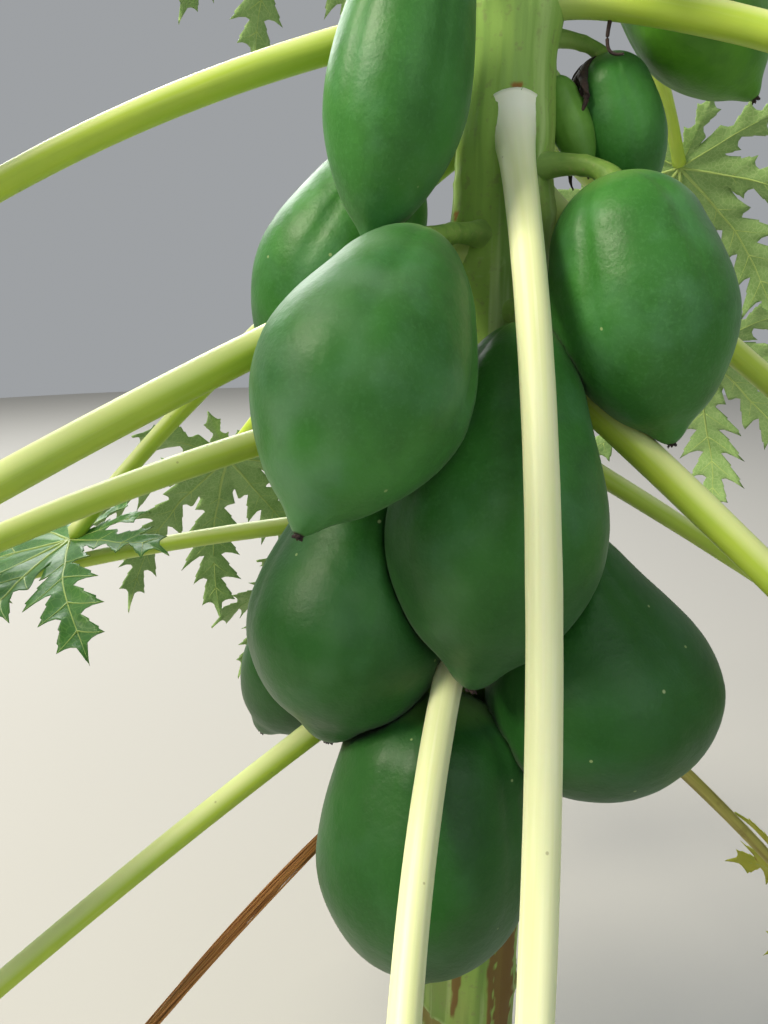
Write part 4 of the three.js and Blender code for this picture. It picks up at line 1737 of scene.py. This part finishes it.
@dataclass
class Trunk:
    """The trunk from its flat cut to its tip, with dropped leaves' marks and the swellings of its nodes."""

    leaves: Sequence[LeafSpec]
    fruits: Sequence[Fruit]
    sides: int = 132
    rings: int = 560
    furrow: float = 0.9
    furrow_change: tuple[float, float] = (1.3, 0.6)  # at the foot and at the tip, against that
    furrow_size: tuple[float, float] = (9.0, 130.0)  # how close together round the trunk, and their length
    swell: float = 1.6
    swell_size: tuple[float, float] = (1.6, 90.0)
    dome: float = 16.0  # how far under its tip it starts to round over
    dome_close: float = 0.75
    first_scar: tuple[float, float] = (96.0, 20.0)  # height and bearing
    last_scar: float = 905.0
    axil: float = 9.0  # how far above a leaf stalk its bud sits
    peel_rise: float = 0.9  # how far old bark stands out
    peel_taper: float = 90.0  # length of a strip's tapering ends
    peel_wander: tuple[float, float] = (4.0, 60.0)  # how far it wanders aside, and the height of a bend
    peel_ragged: tuple[float, float] = (5.0, 14.0)  # width and height of a notch in its edge
    peel_notch: float = 0.45  # depth of a notch, against its half width
    peel_edge: float = 3.0
    # cork and painted shade reach up to here, under the fruit
    cork_and_shade_top: float = 900.0
    cork_and_shade_patch: tuple[float, float] = (2.2, 70.0)  # how close together its patches are, and their height
    leaf_reach: float = 80.0  # how far above and below a node its swelling is looked for
    green_from: float = 400.0  # marks above this are still green
    green_blend: float = 600.0
    young_and_lit_from: float = 1250.0  # the skin is fresh green above this, partly younger skin and partly painted light from above
    young_and_lit_blend: float = 300.0
    # Strips of old brown bark: bearing, half width, and heights of the lower and the upper end.
    strips: tuple[tuple[float, float, float, float], ...] = (
        (310.0, 15.0, 480.0, 740.0), (251.0, 4.5, 540.0, 710.0), (290.0, 3.0, 520.0, 700.0),
        (150.0, 11.0, 360.0, 590.0), (62.0, 8.0, 470.0, 660.0), (214.0, 5.0, 270.0, 400.0),
        (98.0, 5.0, 250.0, 420.0), (18.0, 7.0, 180.0, 350.0),
    )
    scars: list[Scar] = field(init=False)

    def __post_init__(self) -> None:
        """Places the scars on the trunk's spiral, under the fruit, and the buds above the leaves."""
        draw = random.Random(41)
        self.scars = []
        height, bearing = self.first_scar
        while height < self.last_scar:
            width, tall, rise = draw.uniform(21, 26), draw.uniform(12, 16), draw.uniform(2.2, 3.4)
            self.scars.append(Scar(height, bearing, width, tall, rise))
            height += draw.uniform(30.0, 44.0)
            bearing += SPIRAL + draw.uniform(-8, 8)
        for fruit in self.fruits:
            self.scars.append(Scar(fruit.height - 16.0, fruit.bearing + draw.uniform(-8, 8), 17.0, 8.0, 1.0))
        for leaf in self.leaves:
            rise = math.radians(clamp(leaf.rise, -60.0, 60.0))
            root = leaf.height + trunk_radius(leaf.height) * (1.0 - ROOT_SINK) * math.tan(rise)
            height = root + leaf.thick * 0.75 / math.cos(rise) + self.axil
            self.scars.append(Scar(height, leaf.bearing, 5.0, 4.5, 1.2, is_bud=True))

    def _strip(self, bearing: float, height: float, radius: float) -> float:
        """Reads the strips of old bark at a point of the trunk.

        Args:
            bearing: The point's bearing.
            height: Its height.
            radius: The trunk's radius there.

        Returns:
            How much of the point is old brown bark.
        """
        most = 0.0
        aside, bend = self.peel_wander
        wide, tall = self.peel_ragged
        for middle, half, lower, upper in self.strips:
            across = round_trunk(bearing, middle, radius) + aside * rough(height / bend, middle)
            ends = ease((upper - height) / self.peel_taper) * ease((height - lower) / self.peel_taper)
            notch = self.peel_notch * half * rough(across / wide, height / tall, middle)
            edge = half * (1.2 * math.sqrt(ends) - 0.2) + notch
            most = max(most, ease((edge - abs(across)) / self.peel_edge + 0.5) * ease(ends * 3.0))
        return most

    def _swelling(self, leaf: LeafSpec, bearing: float, height: float, radius: float) -> float:
        """Works out how far the node under a leaf stands out at a point of the trunk.

        Args:
            leaf: The leaf.
            bearing: The point's bearing.
            height: Its height.
            radius: The trunk's radius there.

        Returns:
            How far the surface is raised.
        """
        across = round_trunk(bearing, leaf.bearing, radius) / (leaf.thick * 1.25)
        up = (height - leaf.height + leaf.thick * 0.55) / (leaf.thick * 0.8)
        return leaf.thick * 0.22 * math.exp(-(across ** 2 + up ** 2))

    def _noise(self, out: Vector, height: float, size: tuple[float, float]) -> float:
        """Reads smooth noise at a point of the trunk.

        Args:
            out: The point's direction from the trunk's centre line.
            height: Its height.
            size: How close together the bumps are round the trunk, and their length.

        Returns:
            The noise, between -1 and 1.
        """
        return rough(out.x * size[0], out.y * size[0], height / size[1])

    def _furrows(self, out: Vector, height: float) -> float:
        """Works out the lengthwise furrows and soft swellings at a point.

        Args:
            out: The point's direction from the trunk's centre line.
            height: Its height.

        Returns:
            How far the surface is raised.
        """
        fine = self._noise(out, height, self.furrow_size)
        soft = self._noise(out, height, self.swell_size)
        return self.furrow * fine * mix(*self.furrow_change, height / TRUNK_HEIGHT) + self.swell * soft

    def shape(self, piece: Piece) -> None:
        """Adds the trunk to a piece.

        Args:
            piece: The piece it is part of.
        """
        names = ("scar", "rim", "bud", "cork_and_shade", "green", "strip")
        scar, rim, bud, cork_and_shade, green, strip = (piece.layer(name) for name in names)
        rows: dict[int, tuple[list[Scar], list[LeafSpec]]] = {}
        marks: list[tuple[float, float, float, float, float, Vector]] = []

        def place(x: float, y: float) -> Vector:
            """Places a corner of the grid and notes what marks it.

            Args:
                x: Its share of the way round.
                y: Its share of the rings.

            Returns:
                Its place.
            """
            ring = round(y * self.rings)
            height = clamp((ring - 1) / (self.rings - 2)) * TRUNK_HEIGHT
            if ring not in rows:
                rows[ring] = (
                    [s for s in self.scars if abs(s.height - height) < 2.5 * s.tall],
                    [n for n in self.leaves if abs(n.height - height) < self.leaf_reach],
                )
            bearing = 360.0 * x
            angle = math.tau * x
            out = polar(angle, 1.0)
            mean = trunk_radius(height)
            ribs = 1.0 + FLARE_RIB_DEPTH * fade(height, ROOT_FLARE_HEIGHT) * math.cos(FLARE_RIBS * angle)
            raised, inside, edge, brown = self._furrows(out, height), 0.0, 0.0, 0.0
            for mark in rows[ring][0]:
                up, within, around_it = mark.read(bearing, height, mean)
                raised += up
                if mark.is_bud:
                    brown = max(brown, within)
                else:
                    inside, edge = max(inside, within), max(edge, around_it)
            for leaf in rows[ring][1]:
                raised += self._swelling(leaf, bearing, height, mean)
            peel = self._strip(bearing, height, mean)
            raised += self.peel_rise * peel
            tip = clamp((height - TRUNK_HEIGHT + self.dome) / self.dome)
            radius = (mean * ribs + raised) * math.sqrt(1.0 - self.dome_close * tip * tip)
            # cork and painted shade, darker from the foot up to under the fruit
            foot = ease(1.0 - height / self.cork_and_shade_top)
            foot *= 0.8 + 1.1 * self._noise(out, height, self.cork_and_shade_patch)
            grain = Vector((out.x * mean, out.y * mean, height)) * MM
            marks.append((inside, edge, brown, foot, peel, grain))
            return trunk_axis(height) + out * (0.0 if ring in (0, self.rings) else radius)

        corners = piece.grid(self.sides, self.rings, place)
        for corner, (inside, edge, brown, foot, peel, grain) in zip(corners, marks):
            fresh = ease((corner.co.z - self.green_from) / self.green_blend)
            corner[scar] = inside * mix(1.0, 0.15, fresh)
            corner[rim] = edge * (1.0 - inside) * mix(1.0, 0.4, fresh)
            corner[bud] = brown
            corner[cork_and_shade] = foot
            corner[strip] = peel
            # younger skin and painted light from above: paler green towards the top
            corner[green] = ease((corner.co.z - self.young_and_lit_from) / self.young_and_lit_blend)
            corner[piece.grain] = grain


@dataclass
class DryStalk:
    """A dead leaf stalk: shrivelled skin and loose fibres round its old centre line."""

    stalk: Stalk
    strands: int = 12
    flare: float = 1.6
    flare_length: float = 30.0
    shrunk: float = 0.72  # its thickness when dry, against its own
    wide: float = 1.15
    tall: float = 0.85

    def _husk(self, share: float, angle: float) -> tuple[float, float]:
        """Works out the thickness of its creased skin.

        Args:
            share: The share of its length.
            angle: The angle round it, in radians.

        Returns:
            Its half width and half height there.
        """
        flare = 1.0 + self.flare * fade(share * self.stalk.path.length, self.flare_length)
        crease = 0.1 * math.cos(5 * angle + share * 3.0) + 0.16 * math.cos(12 * angle - share * 5.0)
        end = math.sqrt(clamp((1.0 - share) * 60.0))
        now = self.stalk.half(share) * flare * (self.shrunk + crease * 0.8) * end
        return now * self.wide, now * self.tall

    def shape(self, piece: Piece) -> None:
        """Adds the stalk and its fibres to a piece.

        Args:
            piece: The piece they are part of.
        """
        draw = random.Random(7)
        piece.tube(self.stalk.path, self._husk, 44, 110)
        for _ in range(self.strands):
            turns, phase = draw.uniform(0.3, 1.4), draw.uniform(0, math.tau)
            begin, end = draw.uniform(0.0, 0.3), draw.uniform(0.75, 1.0)
            thick = draw.uniform(0.6, 1.1)
            line = Path.through(40, lambda t: self._strand(mix(begin, end, t), phase, turns))
            piece.tube(line, lambda share, _: self._fibre(share, thick), 6, 44)

    def _fibre(self, share: float, thick: float) -> tuple[float, float]:
        """Works out the thickness of a fibre.

        Args:
            share: The share of its length.
            thick: Half its thickness in the middle.

        Returns:
            Its half width and half height there.
        """
        body = thick * math.sin(math.pi * clamp(share, 0.04, 0.96)) ** 0.4
        return body, body

    def _strand(self, share: float, phase: float, turns: float) -> Vector:
        """Places a point of a loose fibre.

        Args:
            share: The point's share of the stalk's length.
            phase: The angle at which the fibre starts, in radians.
            turns: How often it winds round the stalk over the whole length.

        Returns:
            The point.
        """
        point, _, side, top = self.stalk.path.frame(share)
        angle = phase + turns * math.tau * share
        away = self.stalk.half(share) * mix(0.85, 1.1, math.sin(share * math.pi))
        return point + side * (math.cos(angle) * away * 1.2) + top * (math.sin(angle) * away * 0.8)


@dataclass(frozen=True)
class DriedFlowerStalk:
    """A thin dried flower stalk that hangs in a hook from a leaf stalk.

    Attributes:
        stalk: The leaf stalk it hangs from.
        share: Where along it, by length.
        drop: How far it hangs down.
        hook: How far its end turns out.
    """

    stalk: Stalk
    share: float
    drop: float
    hook: float

    BEND = 1.9  # radians that it bends through on its way down

    def shape(self, piece: Piece) -> None:
        """Adds the dried stalk to a piece.

        Args:
            piece: The piece it is part of.
        """
        start, along, _, top = self.stalk.path.frame(self.share)
        start = start - top * (self.stalk.half(self.share) - 1.0)

        def place(t: float) -> Vector:
            """Returns the point at a share of its length."""
            side = self.hook * (t ** 3 - 0.7 * t * (1.0 - t))
            return start + along * side - UP * (self.drop * math.sin(t * self.BEND) / math.sin(self.BEND))

        piece.tube(Path.through(18, place), taper(1.7, 1.0), 8, 22)


@dataclass
class Blossom:
    """Flower buds and open flowers in the axils of the upper leaves."""

    leaves: Sequence[LeafSpec]
    missing: float = 0.2  # chance that a side of a leaf has none
    opened: float = 0.4  # chance that a flower is open
    stalk: float = 14.0
    petals: int = 5

    def shape(self, piece: Piece) -> None:
        """Adds the flowers to a piece.

        Args:
            piece: The piece they are part of.
        """
        draw = random.Random(23)
        for leaf in self.leaves:
            for side in (-1.0, 1.0):
                if draw.random() < self.missing:
                    continue
                bearing = leaf.bearing + side * draw.uniform(16, 30)
                height = leaf.height + draw.uniform(14, 26)
                root = around(bearing, trunk_radius(height) * 0.9, height)
                out = (around(bearing, trunk_radius(height) + 10.0, height) - root).normalized()
                aim = (out + UP * draw.uniform(0.2, 0.9)).normalized()
                size = draw.uniform(16, 26)
                add = self._flower if draw.random() < self.opened else self._bud
                neck = root + aim * self.stalk
                stalk = Path.through(8, lambda t: root.lerp(neck, t))
                piece.tube(stalk, taper(2.6, 2.0), 8, 8, 1)
                add(piece, neck, aim, size, draw.uniform(0, 6))

    def _bud(self, piece: Piece, neck: Vector, aim: Vector, size: float, phase: float) -> None:
        """Adds a closed bud.

        Args:
            piece: The piece it is part of.
            neck: The end of its stalk.
            aim: The direction it grows in.
            size: Its length.
            phase: How far it is turned on its stalk, in radians.
        """
        def sizes(share: float, angle: float) -> tuple[float, float]:
            """Works out the bud's thickness.

            Args:
                share: The share of its length.
                angle: The angle round it, in radians.

            Returns:
                Its half width and half height there.
            """
            now = size * 0.24 * math.sin(math.pi * clamp(share * 0.96 + 0.04)) ** 0.7 * (1.15 - 0.35 * share)
            now *= 1.0 + 0.06 * math.cos(5 * angle + 2.5 * share + phase)
            return now, now

        base = piece.layer("base")
        line = Path.through(12, lambda t: neck + aim * (size * t - 1.0))
        for corner in piece.tube(line, sizes, 15, 16, 0):
            corner[base] = ease(1.0 - corner[piece.grain].z / MM / (size * 0.5))

    def _flower(self, piece: Piece, neck: Vector, aim: Vector, size: float, phase: float) -> None:
        """Adds an open flower.

        Args:
            piece: The piece it is part of.
            neck: The end of its stalk.
            aim: The direction it grows in.
            size: Its bud's length.
            phase: How far it is turned on its stalk, in radians.
        """
        base = piece.layer("base")
        turn = UP.rotation_difference(aim)

        def sizes(share: float, _: float) -> tuple[float, float]:
            """Returns a petal's half width and half thickness at a share of its length."""
            return size * 0.21 * math.sin(math.pi * clamp(share * 0.9 + 0.07)) ** 0.6, 0.7

        for number in range(self.petals):
            swing = Quaternion(UP, phase + number * math.tau / self.petals)

            def place(t: float) -> Vector:
                """Returns the point of the petal's middle line at a share of its length."""
                out, up = size * (0.1 + 0.75 * t ** 1.7), size * (0.95 * t - 0.35 * t ** 3)
                return neck + turn @ (swing @ Vector((out, 0.0, up)))

            for corner in piece.tube(Path.through(10, place), sizes, 12, 12, 0):
                corner[base] = ease(1.0 - corner[piece.grain].z / MM / (size * 0.6))


@dataclass
class CrownBud:
    """The growing tip: folded young leaves round it, on short stalks."""

    spears: int = 9
    sink: float = 6.0  # how far under the trunk's tip they start
    stalk: float = 2.3  # half thickness of their stalks
    body: float = 4.6  # how much thicker the folded blade is
    pleat: float = 0.24
    pleats: int = 7

    def shape(self, piece: Piece) -> None:
        """Adds the folded leaves to a piece.

        Args:
            piece: The piece they are part of.
        """
        draw = random.Random(11)
        foot = trunk_axis(TRUNK_HEIGHT - self.sink)
        for number in range(self.spears):
            lean = math.radians(draw.uniform(2, 17))
            out = polar(math.radians(number * SPIRAL), 1.0)
            aim = (UP * math.cos(lean) + out * math.sin(lean)).normalized()
            start = foot + out * draw.uniform(2, 9)
            length = draw.uniform(58, 84)
            line = Path([start + aim * (length * i / 20.0) for i in range(21)])
            stalk = draw.uniform(0.25, 0.4)
            piece.tube(line, lambda share, angle: self._folded(share, angle, stalk), 42, 46)

    def _folded(self, share: float, angle: float, stalk: float) -> tuple[float, float]:
        """Works out a folded leaf's thickness.

        Args:
            share: The share of its length.
            angle: The angle round it, in radians.
            stalk: The share of its length that is stalk.

        Returns:
            Its half width and half height there.
        """
        if share < stalk:
            return self.stalk, self.stalk
        part = (share - stalk) / (1.0 - stalk)
        body = self.stalk + self.body * math.sin(math.pi * clamp(part * 0.85 + 0.02)) ** 0.8
        body *= clamp((1.0 - part) * 3.0) ** 0.7
        pleated = body * (1.0 + self.pleat * math.cos(self.pleats * angle + part * 1.5))
        return pleated, pleated


# Leaves of the fruiting zone, one row each: see LeafSpec for what the numbers are.
LEAVES = [
    LeafSpec("01", 1498, 185, -10, -44, 720, 6, 26, 330, -54),
    LeafSpec("02", 1325, 203, -21, -25, 780, 14, 29, 340, -52),
    LeafSpec("03", 1206, 193, -9, -22, 600, 13, 25, 310, -50),
    LeafSpec("04", 1420, 140, -33, -54, 540, 33, 22, 250, -20),
    LeafSpec("05", 1095, 178, -4, -22, 600, -6, 18, 240, -40),
    LeafSpec("06", 986, 202, -28, -31, 700, 5, 23, 310, -48),
    LeafSpec("07", 1421, 274, -49, -56, 760, -9, 26, 340, -84),
    LeafSpec("08", 1058, 249, -32, -40, 720, 13, 26, 310, -76),
    LeafSpec("09", 1250, 319, -34, -44, 680, 3, 28, 330, -62),
    LeafSpec("10", 1172, 10, -30, -36, 560, -6, 20, 270, -50),
    LeafSpec("11", 1363, 3, -31, -47, 660, 0, 25, 320, -60),
    LeafSpec("12", 1510, 342, -9, -48, 700, -4, 27, 340, -66),
    LeafSpec("13", 984, 5, -40, -50, 520, 0, 16, 240, -60),
    LeafSpec("14", 1512, 212, 46, -12, 720, 14, 22, 320, -44),
]
SUNNED_LEAVES = ("07", "08")  # their stalks are bleached by the sun
OLD_LEAF = "13"  # the lowest, which yellows

# Leaves behind the fruit.
BACK_LEAVES = [
    LeafSpec("15", 1440, 55, -12, -30, 680, 0, 27, 320, -54),
    LeafSpec("16", 1330, 122, -18, -34, 700, 0, 27, 330, -56),
    LeafSpec("17", 1184, 84, -24, -36, 640, 0, 24, 300, -56),
    LeafSpec("18", 1126, 108, -20, -36, 640, 0, 22, 280, -54),
]

# What is left of a dead leaf: its stalk without a blade.
DEAD_LEAF = LeafSpec("dry", 892, 204, -32, -42, 560, 6, 11, 0, 0)

# The fruit, one row each: see Fruit for what the numbers are.
FRUITS = [
    Fruit("01", 229, 106, 1526, 12, 207, 213, 102, 0.75, 0.5, 0.8),
    Fruit("02", 178, 86, 1399, 29, 184, 216, 132, 0.65, 0.52, 0.75),
    Fruit("03", 238, 124, 1328, 36, 231, 236, 153, 0.56, 0.52, 0.86, 25),
    Fruit("04", 283, 71, 1266, 21, 243, 286, 168, 0.5, 0.58, 0.7),
    Fruit("05", 319, 95, 1373, 18, 326, 208, 137, 0.72, 0.5, 0.75, -22),
    Fruit("06", 13, 81, 1473, 18, 353, 125, 72, 0.8, 0.5, 0.75, -31),
    Fruit("07", 22, 105, 1572, 39, 344, 173, 101, 0.75, 0.52, 0.75),
    Fruit("08", 202, 108, 1142, 21, 240, 232, 172, 0.62, 0.58, 0.62),
    Fruit("09", 163, 106, 1039, 33, 186, 217, 122, 0.55, 0.6, 0.65),
    Fruit("10", 242, 100, 960, 14, 252, 254, 188, 0.78, 0.55, 0.62),
    Fruit("11", 299, 78, 1112, 20, 338, 260, 198, 0.38, 0.64, 0.62),
    Fruit("12", 78, 84, 1352, 22, 78, 225, 138, 0.7, 0.52, 0.75),
    Fruit("13", 62, 90, 1200, 20, 85, 240, 130, 0.55, 0.58, 0.68),
    Fruit("14", 118, 92, 1060, 18, 114, 245, 150, 0.5, 0.6, 0.65),
]
FRESH_BACKLIT_FRUITS = ("07",)  # greener than the others, and painted brighter as painted backlight
WITHERED_FLOWER_FRUIT = "06"

# Young fruit under the bud, which are part of the trunk's solid.
YOUNG_FRUITS = [
    Fruit("young_1", 10, 38, 1454, 24, 340, 84, 33, 0.8, 0.5, 0.8),
    Fruit("young_2", 288, 66, 1640, 26, 290, 104, 52, 0.75, 0.5, 0.8),
    Fruit("young_3", 150, 60, 1678, 30, 150, 92, 46, 0.75, 0.5, 0.8),
    Fruit("young_4", 70, 54, 1722, 34, 72, 78, 38, 0.8, 0.5, 0.8),
    Fruit("young_5", 212, 50, 1764, 38, 214, 66, 31, 0.8, 0.5, 0.8),
]


@dataclass(frozen=True)
class Crown:
    """The spiral of leaves above the fruit. Each pair is the value at its lowest and at its highest leaf."""

    count: int = 11
    crowding: float = 0.8
    height: tuple[float, float] = (1560.0, 1905.0)
    first_bearing: float = 60.0
    rise: tuple[float, float] = (16.0, 80.0)
    fall: tuple[float, float] = (-34.0, 56.0)
    length: tuple[float, float] = (690.0, 290.0)
    thick: tuple[float, float] = (25.0, 10.0)
    lobe: tuple[float, float] = (340.0, 190.0)
    pitch: tuple[float, float] = (-56.0, 16.0)

    def leaves(self) -> Iterator[LeafSpec]:
        """Works out the crown's leaves.

        Yields:
            Each leaf, from the lowest up.
        """
        for i in range(self.count):
            share = i / (self.count - 1)
            yield LeafSpec(
                str(len(LEAVES) + len(BACK_LEAVES) + i + 1),
                mix(*self.height, share ** self.crowding),
                self.first_bearing + SPIRAL * i,
                mix(*self.rise, share),
                mix(*self.fall, share),
                mix(*self.length, share),
                0.0,
                mix(*self.thick, share),
                mix(*self.lobe, share),
                mix(*self.pitch, share),
            )


@dataclass
class Studio:
    """The pale floor, soft light and camera round the tree, in metres."""

    camera_at: tuple[float, float, float] = (-0.084, -0.72, 1.30)
    camera_pitch: float = 16.0  # degrees below level
    focal_pixels: float = 820.0  # focal length against the photograph's height in pixels
    photo_height: float = 1024.0
    film: float = 36.0  # width of the camera's film in millimetres
    nearest: float = 0.01  # what is nearer to the camera than this isn't seen
    floor_radius: float = 9.5  # the lamps light it evenly this far out
    floor_sides: int = 96
    lit: tuple[float, float, float] = (0.0, 0.0, 1.15)  # where the lamps are aimed, among the fruit
    sky: str = "#e4e8ec"
    sky_strength: float = 0.44

    def build(self) -> None:
        """Makes the floor, the lights, the sky and the camera."""
        self._floor()
        self._light("key", (-5.0, -2.4, 6.2), 2.2, 860.0, "#fff6e0")
        self._light("rim", (-2.6, 5.6, 5.2), 3.5, 420.0, "#ffffff")
        self._light("fill", (3.4, -7.4, 5.2), 6.0, 150.0, "#f4f8ff")
        self._sky()
        self._camera()

    def _floor(self) -> None:
        """Makes a wide round floor of pale plaster."""
        mesh = bmesh.new()
        bmesh.ops.create_circle(mesh, cap_ends=True, segments=self.floor_sides, radius=self.floor_radius)
        data = bpy.data.meshes.new("floor")
        mesh.to_mesh(data)
        mesh.free()
        floor = bpy.data.objects.new("floor", data)
        bpy.context.scene.collection.objects.link(floor)
        data.materials.append(PLASTER.material())

    def _light(
        self, name: str, at: tuple[float, float, float], size: float, power: float, color: str
    ) -> None:
        """Hangs a soft square light that points at the fruit.

        Args:
            name: Its name.
            at: Where it hangs.
            size: Its side.
            power: Its power in watts.
            color: Its colour, sRGB.
        """
        data = bpy.data.lights.new(name, "AREA")
        data.size = size
        data.energy = power
        data.color = linear(color)[:3]
        lamp = bpy.data.objects.new(name, data)
        bpy.context.scene.collection.objects.link(lamp)
        lamp.location = at
        aim = Vector(self.lit) - Vector(at)
        lamp.rotation_euler = aim.to_track_quat("-Z", "Y").to_euler()

    def _sky(self) -> None:
        """Sets an even pale sky."""
        world = bpy.data.worlds.new("studio")
        bpy.context.scene.world = world
        world.use_nodes = True
        back = world.node_tree.nodes["Background"]
        back.inputs["Color"].default_value = linear(self.sky)
        back.inputs["Strength"].default_value = self.sky_strength
        bpy.context.scene.view_settings.view_transform = "Standard"

    def _camera(self) -> None:
        """Sets the camera where the photograph was taken."""
        data = bpy.data.cameras.new("photo view")
        data.sensor_width = self.film
        data.lens = self.focal_pixels * self.film / self.photo_height
        data.clip_start = self.nearest
        camera = bpy.data.objects.new("photo view", data)
        bpy.context.scene.collection.objects.link(camera)
        camera.location = self.camera_at
        camera.rotation_euler = (math.radians(90.0 - self.camera_pitch), 0.0, 0.0)
        bpy.context.scene.camera = camera


class PapayaTree:
    """The whole tree: trunk, fruit, leaves, blossom and bud."""

    FULL_GROWN = 4  # how many of the crown's lowest leaves are full-grown
    FIRST_BLOSSOM = 2  # how many of them have no blossom

    def __init__(self) -> None:
        """Lists the leaves and lays out their stalks."""
        self.crown = list(Crown().leaves())
        self.leaves = [*LEAVES, *BACK_LEAVES, *self.crown, DEAD_LEAF]
        self.stalks = {leaf.name: Stalk(leaf) for leaf in self.leaves}

    def build(self) -> None:
        """Builds each piece in turn."""
        self._trunk()
        self._fruits()
        for leaf in LEAVES:
            age = Age.SUNNED if leaf.name in SUNNED_LEAVES else Age.GROWN
            age = Age.OLD if leaf.name == OLD_LEAF else age
            self._leaf(leaf, age, "petiole_" + leaf.name, "blade_" + leaf.name)
        for leaf in [*BACK_LEAVES, *self.crown]:
            age = Age.YOUNG if leaf in self.crown[self.FULL_GROWN:] else Age.GROWN
            self._leaf(leaf, age, "leaf_" + leaf.name, "leaf_" + leaf.name)
        dry = DryStalk(self.stalks["dry"])
        self._add("dry_stalk", "dry_stalk", [DRY_STALK], ["dry_petiole"], dry.shape)
        hook = DriedFlowerStalk(self.stalks["12"], 0.086, 22.0, 12.0)
        self._add("dried_flower_stalk", "dry_stalk", [DRY_PETAL], [], hook.shape)
        self._add("folded_leaves", "young_leaf", [YOUNG_TOP], ["crown_bud"], CrownBud().shape)
        blossom = Blossom(self.crown[self.FIRST_BLOSSOM:])
        self._add("blossom", "young_leaf", [PETAL, FRUIT_STALK], [], blossom.shape)

    def _add(
        self,
        name: str,
        slot: str,
        finishes: Sequence[Finish],
        nodes: Sequence[str],
        *shapes: Callable[[Piece], None],
    ) -> None:
        """Makes one piece.

        Args:
            name: The piece's name.
            slot: The record's material slot, handed on to the piece.
            finishes: Its finishes, in the order of its faces' numbers.
            nodes: The solids that it stands for.
            shapes: What adds its shapes to it, in order.
        """
        piece = Piece(name, slot, finishes, nodes)
        for shape in shapes:
            shape(piece)
        piece.finish()

    def _trunk(self) -> None:
        """Builds the trunk and the young fruit that are part of its solid."""
        self._add("trunk_skin", "bark", [BARK], ["trunk"], Trunk(self.leaves, FRUITS).shape)
        young = [partial(fruit.shape, sides=40, rings=32) for fruit in YOUNG_FRUITS]
        self._add("young_papayas", "rind", [YOUNG_RIND, FRUIT_STALK, DRY_PETAL], ["trunk"], *young)

    def _fruits(self) -> None:
        """Builds the hanging fruit, each dented by what it is pressed against."""
        done: list[Fruit | Stalk] = list(self.stalks.values())
        for fruit in FRUITS:
            rind = FRESH_BACKLIT_RIND if fruit.name in FRESH_BACKLIT_FRUITS else RIND
            shapes = [partial(fruit.shape, neighbours=done)]
            if fruit.name == WITHERED_FLOWER_FRUIT:
                shapes.append(partial(WitheredFlower(fruit, 203.0, 0.0, 0.74, 15.0).shape, finish=2))
            nodes = ["fruit_" + fruit.name]
            self._add("papaya_" + fruit.name, "rind", [rind, FRUIT_STALK, DRY_PETAL], nodes, *shapes)
            done.append(fruit)

    def _leaf(self, leaf: LeafSpec, age: Age, stalk_node: str, blade_node: str) -> None:
        """Builds a leaf's stalk and blade as two pieces.

        Args:
            leaf: How it grows.
            age: How old it is.
            stalk_node: The solid that its stalk stands for.
            blade_node: The solid that its blade stands for.
        """
        top, under, rib, skin, slot = age.value
        stalk = self.stalks[leaf.name]
        self._add("leaf_stalk_" + leaf.name, "stalk", [skin], [stalk_node], stalk.shape)
        blade = Blade(leaf.lobe, *stalk.hub(), int(leaf.name))
        shape = partial(blade.shape, top=0, under=1, rib=2)
        self._add("leaf_blade_" + leaf.name, slot, [top, under, rib], [blade_node], shape)


def main() -> None:
    """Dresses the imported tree."""
    logging.basicConfig(level=logging.INFO, format="%(message)s")
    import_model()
    Studio().build()
    PapayaTree().build()
    bpy.context.view_layer.update()


if __name__ == "__main__":
    main()
